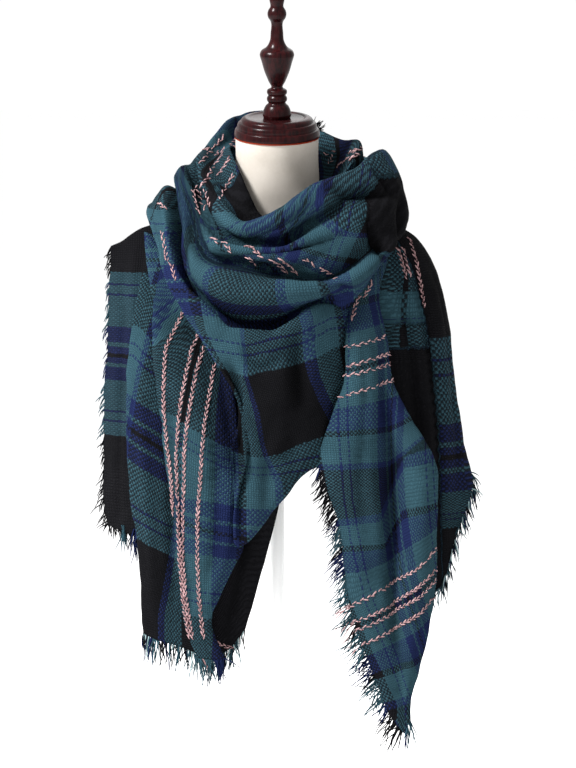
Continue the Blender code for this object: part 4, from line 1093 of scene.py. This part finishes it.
APRON_WARP = {
    -33: [(-117, 719), (-137, 679), (-150, 652), (-152, 620), (-153, 585), (-151, 552), (-147, 511),
          (-142, 474), (-141, 424), (-138, 371), (-133, 317), (-127, 263)],
    -7: [(-83, 719), (-103, 679), (-115, 652), (-122, 620), (-129, 585), (-133, 552), (-136, 511),
         (-135, 474), (-133, 424), (-131, 371), (-127, 317), (-119, 263)],
    7: [(-70, 719), (-87, 679), (-99, 652), (-109, 620), (-115, 585), (-121, 552), (-125, 511),
        (-125, 474), (-127, 424), (-127, 371), (-123, 317), (-114, 263)],
    33: [(-56, 719), (-74, 679), (-80, 652), (-86, 620), (-92, 585), (-97, 552), (-101, 511),
         (-103, 474), (-107, 424), (-107, 371), (-105, 317), (-99, 263)],
    52: [(-50, 719), (-66, 652), (-75, 620), (-80, 585), (-82, 552), (-83, 511), (-83, 474), (-84, 424),
         (-86, 371), (-88, 317), (-87, 263)],
    84: [(-36, 719), (-50, 620), (-51, 585), (-50, 552), (-50, 511), (-50, 474), (-52, 424), (-56, 371),
         (-63, 317)],
    93: [(-25, 719), (-39, 620), (-40, 552), (-40, 474), (-42, 424), (-46, 371), (-52, 317)],
}
APRON_WEFT = dict(FRONT_WEFT)
APRON_WEFT.update({33: [(-170, 735), (-120, 775), (-60, 785)], 71: [(-170, 695), (-120, 735), (-60, 745)],
                   88: [(-170, 672), (-120, 712), (-60, 722)], 105: [(-170, 650), (-120, 690), (-60, 700)]})
APRON_FOLDS = (
    ([(3.0, 2.0), (3.2, 4.5), (3.0, 7.5)], 9, -6),
    ([(1.7, 3.0), (1.5, 6.0), (1.8, 9.0)], 6, -4),
    ([(3.8, 4.5), (3.6, 6.5), (3.3, 8.5)], 8, 4),
    ([(2.0, 1.6), (2.4, 3.0), (2.9, 4.1)], 18, -8),
    ([(3.2, 2.0), (3.6, 3.2), (3.8, 4.4), (3.9, 5.4)], 17, -13),
)
APRON_SLIDE = 5.23
apron = loft(APRON, APRON_FOLDS, slide=APRON_SLIDE, seed=7.0)
read_both(apron, APRON_WARP, APRON_WEFT)
apron["chains_behind"], apron["runs"] = math.inf, [APRON_WARP[chain] for chain in PINK_CHAINS]
apron_fringe = add_fringe("apron_fringe", ("fringe_front_apron",), [
    strand_roots(apron, "bottom", "warp", (30, 36, 30), 37, fan=0.3),
    strand_roots(apron, "bottom", "warp", (24, 30, 24), 38, fan=0.5)], 37, sag=4.0)
place_cloth("front_panel", apron, ("front_apron",), [apron_fringe])


# ---- The under apron ----------------------------------------------------------------------------
# The wider layer behind the apron, mostly black, with a soft roll at its left where it is doubled
# back. It hangs from the same shoulder, and its hem is left raw as a fringe of mixed yarns.
UNDER_APRON = {
    "left_turn": [(-172, 750, 36), (-189, 656, 60), (-193, 560, 74), (-189, 467, 80), (-176, 366, 84),
                  (-171, 266, 85)],
    "left_edge": [(-182, 752, 42), (-199, 656, 68), (-203, 560, 82), (-199, 467, 88), (-186, 366, 92),
                  (-180, 264, 93)],
    "left_roll": [(-166, 746, 46), (-180, 654, 80), (-184, 560, 98), (-180, 467, 106), (-170, 366, 110),
                  (-164, 256, 110)],
    "left_middle": [(-148, 736, 54), (-152, 640, 84), (-148, 560, 102), (-144, 467, 112), (-140, 366, 115),
                    (-136, 248, 114)],
    "middle": [(-118, 712, 74), (-115, 630, 98), (-110, 560, 112), (-106, 467, 120), (-102, 366, 122),
               (-98, 236, 117)],
    "right_middle": [(-74, 660, 104), (-66, 600, 114), (-60, 540, 121), (-56, 467, 124), (-62, 366, 122),
                     (-70, 240, 115)],
    "right_edge": [(-10, 640, 108), (0, 590, 114), (8, 530, 118), (4, 450, 118), (-15, 371, 114),
                   (-43, 270, 108)],
}
UNDER_WEFT = {
    -105: [(-210, 679), (-157, 647), (-103, 612), (-43, 800)],
    -33: [(-204, 588), (-157, 558), (-103, 525), (-43, 780)],
    0: [(-217, 553), (-204, 545), (-157, 515), (-103, 482), (-43, 760)],
    33: [(-204, 502), (-157, 472), (-103, 444), (-43, 740)],
    71: [(-204, 446), (-157, 419), (-103, 393), (-70, 540), (-43, 700)],
    105: [(-204, 400), (-157, 376), (-103, 350), (-70, 500), (-43, 660)],
    222: [(-204, 230), (-157, 225), (-103, 215), (-43, 250)],
}
UNDER_WARP = {
    141: [(-181, 652), (-190, 572), (-200, 518), (-205, 451), (-213, 290)],
    241: [(-83, 652), (-96, 572), (-110, 518), (-137, 424), (-160, 290)],
    289: [(-43, 652), (-56, 572), (-70, 518), (-96, 424), (-128, 290)],
    297: [(58, 652), (31, 518), (4, 424), (-36, 290)],
}
UNDER_FOLDS = (
    ([(3.0, 0.8), (3.1, 2.6), (2.9, 4.6)], 8, -7),
    ([(2.0, 1.5), (2.1, 3.0), (1.9, 4.8)], 7, 4),
    ([(5.2, 3.0), (5.3, 4.0), (5.0, 4.8)], 8, -4),
)
UNDER_SLIDE = 10.98
under = loft(UNDER_APRON, UNDER_FOLDS, slide=UNDER_SLIDE, seed=11.0)
read_both(under, UNDER_WARP, UNDER_WEFT)
under["runs"] = (((-112, 262), (-104, 246), (-92, 240), (-76, 237)),
                 ((-92, 268), (-80, 252), (-66, 246), (-50, 247)))
under_fringe = add_fringe("under_fringe", ("fringe_under_apron",), [
    strand_roots(under, "bottom", "warp", (32, 36, 34, 40, 34, 28), 41, fan=0.3,
                 mixed=(TEAL, TEAL, BLACK, NAVY)),
    strand_roots(under, "bottom", "warp", (20, 30, 26, 30, 30, 20), 42, fan=0.5,
                 mixed=(TEAL, BLACK, PALE))], 41, sag=4.0)
place_cloth("under_panel", under, ("under_apron",), [under_fringe])


# ---- The left fall ------------------------------------------------------------------------------
# The panel over the wearer's right shoulder, which hangs straight under its own weight. Its weft lies
# level and is well brushed, and its outer edge is a raw one with a short fringe.
LEFT_FALL = {
    "outer_edge": [(-227, 784, -15), (-228, 726, -12), (-231, 653, -8), (-235, 575, -4), (-236, 507, -1),
                   (-237, 440, 1), (-232, 402, 3)],
    "outer": [(-214, 790, -8), (-216, 730, 3), (-219, 653, 12), (-222, 575, 18), (-222, 507, 22),
              (-221, 440, 24), (-217, 398, 25)],
    "middle": [(-201, 799, -1), (-202, 738, 15), (-205, 655, 28), (-207, 575, 35), (-207, 507, 41),
               (-205, 438, 44), (-202, 394, 44)],
    "inner": [(-185, 809, 4), (-187, 746, 22), (-190, 655, 42), (-192, 575, 51), (-190, 507, 56),
              (-188, 438, 58), (-186, 390, 58)],
    "inner_edge": [(-169, 815, 8), (-172, 752, 30), (-176, 655, 46), (-178, 575, 56), (-176, 507, 62),
                   (-174, 438, 65), (-172, 386, 65)],
}
LEFT_SLIDE = 9.27
LEFT_WARP = {"place": (0, 0, 0, 0, 0, 0, 0), "line": (160, 174, 190, 206, 222)}
# Height at which each weft thread lies level across the panel
LEFT_WEFT = ((806, -165), (749, -105), (734, -88), (715, -71), (675, -33), (635, 0), (601, 33), (562, 71),
             (544, 88), (526, 105), (480, 165), (386, 222))
LEFT_FOLDS = (
    ([(1.3, 0.6), (1.6, 3.0), (1.3, 5.6)], 7, -4),
    ([(2.6, 0.3), (2.4, 2.2), (2.8, 4.0)], 8, 4),
    ([(3.2, 2.0), (3.0, 4.0), (3.3, 5.6)], 6, -4),
)
LEFT_NAP = 0.75


def level_threads(sheet, chart):
    """Thread numbers from a chart of (height, thread), listed downward."""
    return np.interp(-sheet["grid"][:, :, 2], *zip(*[(-height, thread) for height, thread in chart]))


left_fall = loft(LEFT_FALL, LEFT_FOLDS, slide=LEFT_SLIDE, seed=13.0)
left_fall["warp"] = count_threads(left_fall, LEFT_WARP)
left_fall["weft"] = level_threads(left_fall, LEFT_WEFT)
left_fall["nap"] = LEFT_NAP
left_fringe = add_fringe("left_fringe", ("fringe_left_fall",), [
    strand_roots(left_fall, "first", "weft", (13, 15, 14, 16, 20), 43, drop=0.7),
    strand_roots(left_fall, "bottom", "warp", (12, 14, 16, 14), 44, fan=0.7),
    tuft(left_fall, (1.6, 5.9), 5.0, 12, 26.0, (0.1, -0.3, -1.0), TEAL, 45),
    tuft(left_fall, (3.0, 5.9), 9.0, 24, 36.0, (0.1, -0.3, -1.0), NAVY, 46)], 43)
place_cloth("left_panel", left_fall, ("left_fall",), [left_fringe])


# ---- The right fall -----------------------------------------------------------------------------
# The panel over the wearer's left shoulder, held there by the tail that lies on it. It has one long
# crease down its length, its black edge is turned back behind that, and its hem slants to a fringe.
RIGHT_FALL = {
    "inner_edge": [(104, 812, 40), (106, 762, 64), (112, 690, 84), (120, 596, 92), (128, 491, 92),
                   (136, 400, 90), (148, 336, 88)],
    "inner": [(118, 819, 34), (150, 776, 56), (170, 690, 80), (182, 590, 88), (188, 491, 88),
              (192, 400, 86), (196, 330, 84)],
    "crease": [(128, 822, 22), (168, 784, 44), (196, 706, 62), (212, 600, 70), (219, 491, 74),
               (221, 400, 75), (221, 324, 75)],
    "outer_roll": [(136, 823, 6), (182, 790, 26), (214, 712, 48), (228, 610, 56), (236, 510, 57),
                   (239, 440, 57), (240, 384, 57)],
    "silhouette": [(140, 823, -10), (192, 792, -2), (227, 712, 6), (239, 625, 10), (251, 540, 14),
                   (258, 498, 16), (266, 464, 18)],
    "side_back": [(138, 822, -27), (190, 790, -28), (222, 712, -34), (232, 625, -38), (240, 550, -40),
                  (244, 516, -40), (246, 490, -40)],
}
RIGHT_FOLDS = (
    ([(2.0, 0.9), (2.0, 3.0), (2.0, 5.6)], 8, -8),
    ([(1.0, 1.0), (1.2, 2.5), (1.0, 4.0)], 9, -6),
    ([(1.4, 2.2), (1.6, 3.4), (1.5, 5.0)], 9, 4),
    ([(3.4, 1.4), (3.5, 3.2), (3.3, 5.0)], 8, -4),
    ([(4.6, 1.2), (4.5, 3.0), (4.7, 5.2)], 8, -6),
)
RIGHT_SLIDE = 0.23
# Inside the long crease the pinks of the shoulder show, and behind it a black edge with level stripes
RIGHT_WARP = {"place": (-10, 0, 20, 24, 24, 24, 24), "line": (-30, -22, 4, 40, 60, 80)}
RIGHT_WEFT = ((800, -165), (728, -107), (724, -103), (690, -89), (684, -72), (681, -70))
EDGE_WEFT = ((790, -200), (663, -105), (546, -33), (500, 0), (452, 33), (425, 71), (405, 105), (331, 165))
CREASE_LINE = 2
PLAIN_WARP_TOP, BLACK_WEFT_TOP = 650, 682  # heights under which the stripes give way to black
BLACK_WARP, BLACK_WEFT = (145.0, 238.0), (-165.0, -115.0)  # first and last threads of that black
right_fall = loft(RIGHT_FALL, RIGHT_FOLDS, slide=RIGHT_SLIDE, seed=17.0)
heights = right_fall["grid"][:, :, 2]
behind_crease = (right_fall["rows"] > right_fall["across"][CREASE_LINE] + 4.0)[:, None]
plain = np.clip(150.0 + 0.6 * right_fall["rows"], *BLACK_WARP)[:, None]
black_weft = np.clip(BLACK_WEFT[0] + BLACK_WEFT_TOP - heights, *BLACK_WEFT)
inside = np.where(heights < BLACK_WEFT_TOP, black_weft, level_threads(right_fall, RIGHT_WEFT))
right_fall["warp"] = np.where(behind_crease | (heights < PLAIN_WARP_TOP), plain,
                              count_threads(right_fall, RIGHT_WARP))
right_fall["weft"] = np.where(behind_crease, level_threads(right_fall, EDGE_WEFT), inside)
right_fall["chains_behind"] = math.inf
right_fall["runs"] = (((165, 786), (176, 744)), ((172, 786), (183, 746)),
                      ((182, 799), (190, 769), (200, 704)))
right_fringe = add_fringe("right_fringe", ("fringe_right_fall",), [
    strand_roots(right_fall, "bottom", "warp", (22, 22, 22, 24, 28), 47, drop=0.2,
                 mixed=(TEAL, NAVY, BLACK)),
    strand_roots(right_fall, "bottom", "warp", (16, 18, 16, 22), 48, drop=0.2, fan=0.5,
                 mixed=(TEAL, BLACK, PALE))], 47)
place_cloth("right_panel", right_fall, ("right_fall",), [right_fringe])


# ---- The tail -----------------------------------------------------------------------------------
# The long pointed end on the wearer's left, the opposite corner of the cloth, pulled out of the wraps
# and left to hang. Its warp lies level, and its inner edge and its tip are fringed.
TAIL = {
    "left_edge": [(100, 766, 86), (98, 716, 116), (93, 660, 142), (91, 612, 147), (74, 562, 149),
                  (58, 505, 148), (70, 458, 146), (82, 424, 144), (91, 357, 143), (101, 297, 142),
                  (129, 218, 138), (153, 160, 134), (172, 133, 131)],
    "left": [(110, 772, 88), (107, 716, 120), (104, 660, 148), (104, 612, 154), (94, 562, 157),
             (82, 505, 156), (90, 458, 154), (100, 424, 152), (109, 355, 150), (118, 293, 148),
             (141, 217, 143), (158, 160, 138), (174, 135, 133)],
    "middle": [(122, 778, 87), (118, 716, 120), (118, 660, 146), (122, 612, 152), (120, 560, 155),
               (118, 505, 154), (120, 458, 152), (126, 422, 150), (131, 353, 147), (138, 290, 145),
               (154, 216, 141), (164, 162, 137), (175, 137, 133)],
    "valley": [(134, 782, 82), (127, 715, 113), (133, 660, 134), (140, 612, 138), (146, 560, 138),
               (152, 505, 135), (154, 458, 134), (155, 420, 134), (155, 350, 136), (157, 288, 138),
               (166, 218, 138), (170, 165, 136), (176, 141, 133)],
    "ridge": [(144, 784, 76), (133, 714, 106), (143, 658, 126), (150, 610, 131), (166, 558, 140),
              (186, 503, 148), (190, 456, 150), (191, 418, 151), (189, 349, 150), (184, 290, 147),
              (180, 222, 142), (175, 171, 138), (177, 145, 134)],
    "right_edge": [(150, 784, 68), (137, 713, 97), (148, 656, 118), (154, 608, 122), (180, 556, 128),
                   (211, 503, 136), (217, 456, 138), (218, 416, 138), (216, 348, 137), (207, 292, 135),
                   (192, 226, 133), (180, 180, 132), (178, 149, 131)],
    "right_turn": [(146, 782, 62), (133, 711, 90), (143, 654, 110), (149, 606, 114), (173, 554, 119),
                   (202, 501, 126), (208, 454, 128), (209, 414, 128), (207, 348, 128), (199, 294, 127),
                   (186, 228, 127), (177, 184, 127), (176, 153, 127)],
}
TAIL_WARP = {
    -33: [(94, 655), (147, 668), (205, 684)],
    -7: [(92, 629), (145, 644), (205, 660)],
    7: [(90, 616), (151, 631), (205, 644)],
    33: [(82, 588), (153, 609), (205, 625)],
    52: [(82, 572), (153, 585), (205, 601)],
    84: [(78, 542), (153, 547), (205, 574)],
    93: [(78, 535), (153, 541), (205, 568)],
    130: [(64, 499), (153, 502), (205, 545)],
    141: [(64, 490), (153, 493), (205, 537)],
    241: [(78, 422), (138, 431), (172, 511), (205, 518)],
    289: [(88, 387), (145, 389), (172, 435), (214, 444)],
    330: [(91, 350), (121, 355), (153, 368), (185, 391), (213, 411)],
    349: [(88, 300), (121, 317), (153, 334), (190, 357), (212, 383)],
    375: [(106, 285), (153, 305), (190, 332), (212, 355)],
    389: [(111, 274), (153, 294), (193, 320), (213, 342)],
    415: [(115, 253), (163, 277), (193, 297), (209, 317)],
    470: [(118, 204), (139, 215), (185, 231), (205, 250)],
    512: [(126, 170), (168, 180), (198, 196)],
    560: [(151, 119), (178, 129)],
}
TAIL_WEFT = {
    105: [(82, 715), (78, 659), (64, 585), (55, 545), (60, 505), (71, 451), (82, 397), (98, 317),
          (127, 250), (151, 196), (162, 170)],
    86: [(91, 715), (88, 659), (84, 585), (84, 545), (87, 505), (91, 451), (96, 424), (100, 397),
         (106, 371), (113, 344), (118, 317), (131, 284), (145, 250), (155, 223), (165, 196), (174, 170)],
    73: [(98, 715), (98, 659), (96, 585), (96, 545), (98, 505), (102, 451), (107, 424), (113, 391),
         (119, 357), (129, 317), (142, 284), (157, 250), (168, 223), (176, 196), (181, 176)],
    33: [(122, 715), (134, 659), (134, 585), (134, 505), (137, 451), (143, 397), (150, 344), (161, 304),
         (178, 250), (192, 196)],
    0: [(138, 715), (151, 659), (155, 585), (155, 505), (157, 451), (162, 397), (170, 344), (181, 304),
        (197, 250), (208, 196)],
    -33: [(154, 715), (169, 659), (170, 585), (170, 505), (174, 451), (182, 397), (190, 344), (201, 304),
          (216, 250)],
    -71: [(178, 659), (197, 585), (197, 505), (200, 451), (205, 397), (213, 344), (224, 304)],
    -88: [(189, 659), (208, 585), (209, 505), (212, 451), (217, 397), (225, 344)],
}
TAIL_FOLDS = (
    ([(3.0, 2.4), (3.0, 5.0), (3.0, 7.5), (3.1, 10.0)], 9, -8),
    ([(4.2, 4.6), (4.1, 6.5), (4.2, 8.6)], 12, 6),
    ([(1.8, 1.6), (1.9, 4.5), (1.6, 7.6)], 8, -4),
    ([(2.2, 5.2), (2.3, 7.0), (2.4, 9.4)], 7, 3),
    ([(4.9, 5.6), (5.0, 7.2), (4.8, 8.8)], 7, -4),
)
TAIL_SLIDE = 4.45
tail = loft(TAIL, TAIL_FOLDS, slide=TAIL_SLIDE, seed=19.0)
read_both(tail, TAIL_WARP, TAIL_WEFT, warp_level=True)
tail["runs"] = (((112, 726), (104, 708), (101, 691)), ((130, 742), (118, 724)))
tail_fringe = add_fringe("tail_fringe", ("fringe_right_tail",), [
    strand_roots(tail, "first", "warp", (20, 22, 26, 34, 40), 53, drop=0.9, high=505),
    strand_roots(tail, "first", "warp", (14, 18, 22, 30, 34), 54, drop=1.2, fan=0.5, high=500),
    strand_roots(tail, "bottom", "weft", (30, 30), 55, drop=1.0)], 53, sag=5.0)
place_cloth("tail", tail, ("right_tail",), [tail_fringe])


# ---- The back fall ------------------------------------------------------------------------------
# The panel down the back, falling in three soft folds from under the collar to a fringed hem. Its
# four chains run straight down, as the folds there are too shallow to hide them.
BACK_FALL = {
    "right_edge": [(132, 819, -32), (183, 784, -36), (214, 712, -42), (224, 625, -46), (232, 560, -48),
                   (237, 500, -48)],
    "right_roll": [(112, 828, -62), (150, 792, -82), (176, 712, -100), (186, 625, -106), (190, 560, -108),
                   (192, 506, -108)],
    "right_valley": [(72, 838, -70), (92, 794, -90), (106, 712, -102), (112, 625, -104), (114, 560, -104),
                     (116, 510, -104)],
    "right_ridge": [(34, 844, -78), (42, 796, -106), (46, 712, -126), (48, 625, -130), (50, 560, -130),
                    (50, 514, -128)],
    "centre": [(-4, 845, -76), (-4, 796, -96), (-5, 712, -108), (-6, 625, -110), (-6, 560, -109),
               (-6, 516, -108)],
    "left_ridge": [(-42, 842, -76), (-52, 796, -106), (-58, 712, -124), (-62, 625, -128), (-64, 560, -128),
                   (-66, 514, -126)],
    "left_valley": [(-80, 834, -68), (-102, 792, -90), (-118, 712, -100), (-126, 625, -102),
                    (-130, 560, -102), (-132, 508, -102)],
    "left_roll": [(-122, 824, -50), (-160, 784, -66), (-184, 712, -72), (-190, 625, -76), (-194, 560, -78),
                  (-196, 500, -78)],
    "left_edge": [(-148, 819, -14), (-188, 778, -10), (-206, 712, -4), (-211, 625, 0), (-214, 560, 2),
                  (-216, 494, 2)],
}
BACK_FOLDS = (
    ([(2.0, 0.6), (2.1, 2.6), (1.9, 5.0)], 14, -6),
    ([(4.0, 0.8), (4.1, 2.4), (3.9, 4.2)], 13, -5),
    ([(6.1, 0.7), (6.0, 2.8), (6.2, 5.0)], 14, -6),
    ([(3.0, 1.5), (3.1, 3.2), (2.9, 5.0)], 12, 4),
    ([(5.1, 1.2), (5.0, 3.4), (5.1, 5.0)], 12, 4),
    ([(1.0, 1.4), (1.1, 2.6), (0.8, 3.8)], 10, -4),
    ([(7.0, 1.8), (7.1, 3.0), (7.0, 4.4)], 10, -4),
)
BACK_SLIDE = -10.03
BACK_WARP = {"place": (0, 6, 12, 20, 26, 32), "line": (-30, 40, 105, 170, 225, 285, 350, 420, 510)}
BACK_WEFT = {"place": (-60, 0, 82, 168, 232, 290), "line": (0, 12, 24, 30, 36, 30, 24, 12, 0)}
back_fall = loft(BACK_FALL, BACK_FOLDS, flip=True, slide=BACK_SLIDE, step=4.0, seed=23.0)
back_fall["warp"] = count_threads(back_fall, BACK_WARP)
back_fall["weft"] = count_threads(back_fall, BACK_WEFT)
back_fringe = add_fringe("back_fringe", ("fringe_back",), [
    strand_roots(back_fall, "bottom", "warp", (16, 18, 15, 18, 16), 59, fan=0.3, spacing=3.0),
    strand_roots(back_fall, "bottom", "warp", (12, 14, 12), 60, fan=0.5, spacing=4.5)], 59, sag=2.0)
place_cloth("back_panel", back_fall, ("back_fall",), [back_fringe])


# ---- The studio ---------------------------------------------------------------------------------
# A plain pale floor and soft light all round. A lamp high on the left rakes across the folds, and two
# weak ones open the shadows at the right and behind. The camera looks slightly down from the front.
FLOOR = (253, 253, 253)
FLOOR_SHADE = (251, 251, 251)
FLOOR_REACH = 60.0
AMBIENT = 1.03
LAMPS = {                           # place, size and watts
    "key": ((-2.3, -1.5, 3.3), 0.9, 480.0),
    "fill": ((2.4, -2.6, 1.4), 2.0, 8.0),
    "behind": ((0.6, 3.0, 2.8), 2.0, 20.0),
}
LAMP_AIM = (0.0, 0.0, 0.65)


def studio():
    corners = [(x * FLOOR_REACH, y * FLOOR_REACH, 0) for x, y in ((-1, -1), (1, -1), (1, 1), (-1, 1))]
    floor_mesh = bpy.data.meshes.new("floor")
    floor_mesh.from_pydata(corners, [], [(0, 1, 2, 3)])
    material = new_material("pale_floor", 0.9)
    place = grow(material, "ShaderNodeTexCoord").outputs["Object"]
    finish_shader(material, blend_colours(material, speckle(material, place, 2.0, 2.0), FLOOR, FLOOR_SHADE))
    floor_mesh.materials.append(material)
    floor = bpy.data.objects.new("floor", floor_mesh)
    bpy.context.collection.objects.link(floor)

    world = bpy.data.worlds.new("studio")
    world.use_nodes = True
    background = world.node_tree.nodes["Background"]
    background.inputs["Color"].default_value = (1.0, 1.0, 1.0, 1.0)
    background.inputs["Strength"].default_value = AMBIENT
    bpy.context.scene.world = world
    for name, (place, size, watts) in LAMPS.items():
        data = bpy.data.lights.new(name, "AREA")
        data.size = size
        data.energy = watts
        lamp = bpy.data.objects.new(name, data)
        lamp.location = place
        aim = Vector(LAMP_AIM) - Vector(place)
        lamp.rotation_euler = aim.to_track_quat("-Z", "Y").to_euler()
        bpy.context.collection.objects.link(lamp)


CAMERA_AIM = (0.015, 0.0, 0.596)
CAMERA_DISTANCE = 7.0
CAMERA_RISE = math.radians(4.0)
PICTURE_HEIGHT = 768                # in pixels
PIXEL = 1.37 * MM                   # what one pixel spans at the neck's axis
SENSOR = 36.0


def add_camera():
    data = bpy.data.cameras.new("camera")
    data.sensor_fit = "VERTICAL"
    data.sensor_height = SENSOR
    data.lens = SENSOR * CAMERA_DISTANCE / (PICTURE_HEIGHT * PIXEL)
    data.clip_end = 200.0
    camera = bpy.data.objects.new("camera", data)
    away = Vector((0.0, -math.cos(CAMERA_RISE), math.sin(CAMERA_RISE))) * CAMERA_DISTANCE
    camera.location = Vector(CAMERA_AIM) + away
    camera.rotation_euler = (-away).to_track_quat("-Z", "Y").to_euler()
    bpy.context.collection.objects.link(camera)
    bpy.context.scene.camera = camera


studio()
add_camera()
bpy.context.scene.view_settings.view_transform = "Standard"
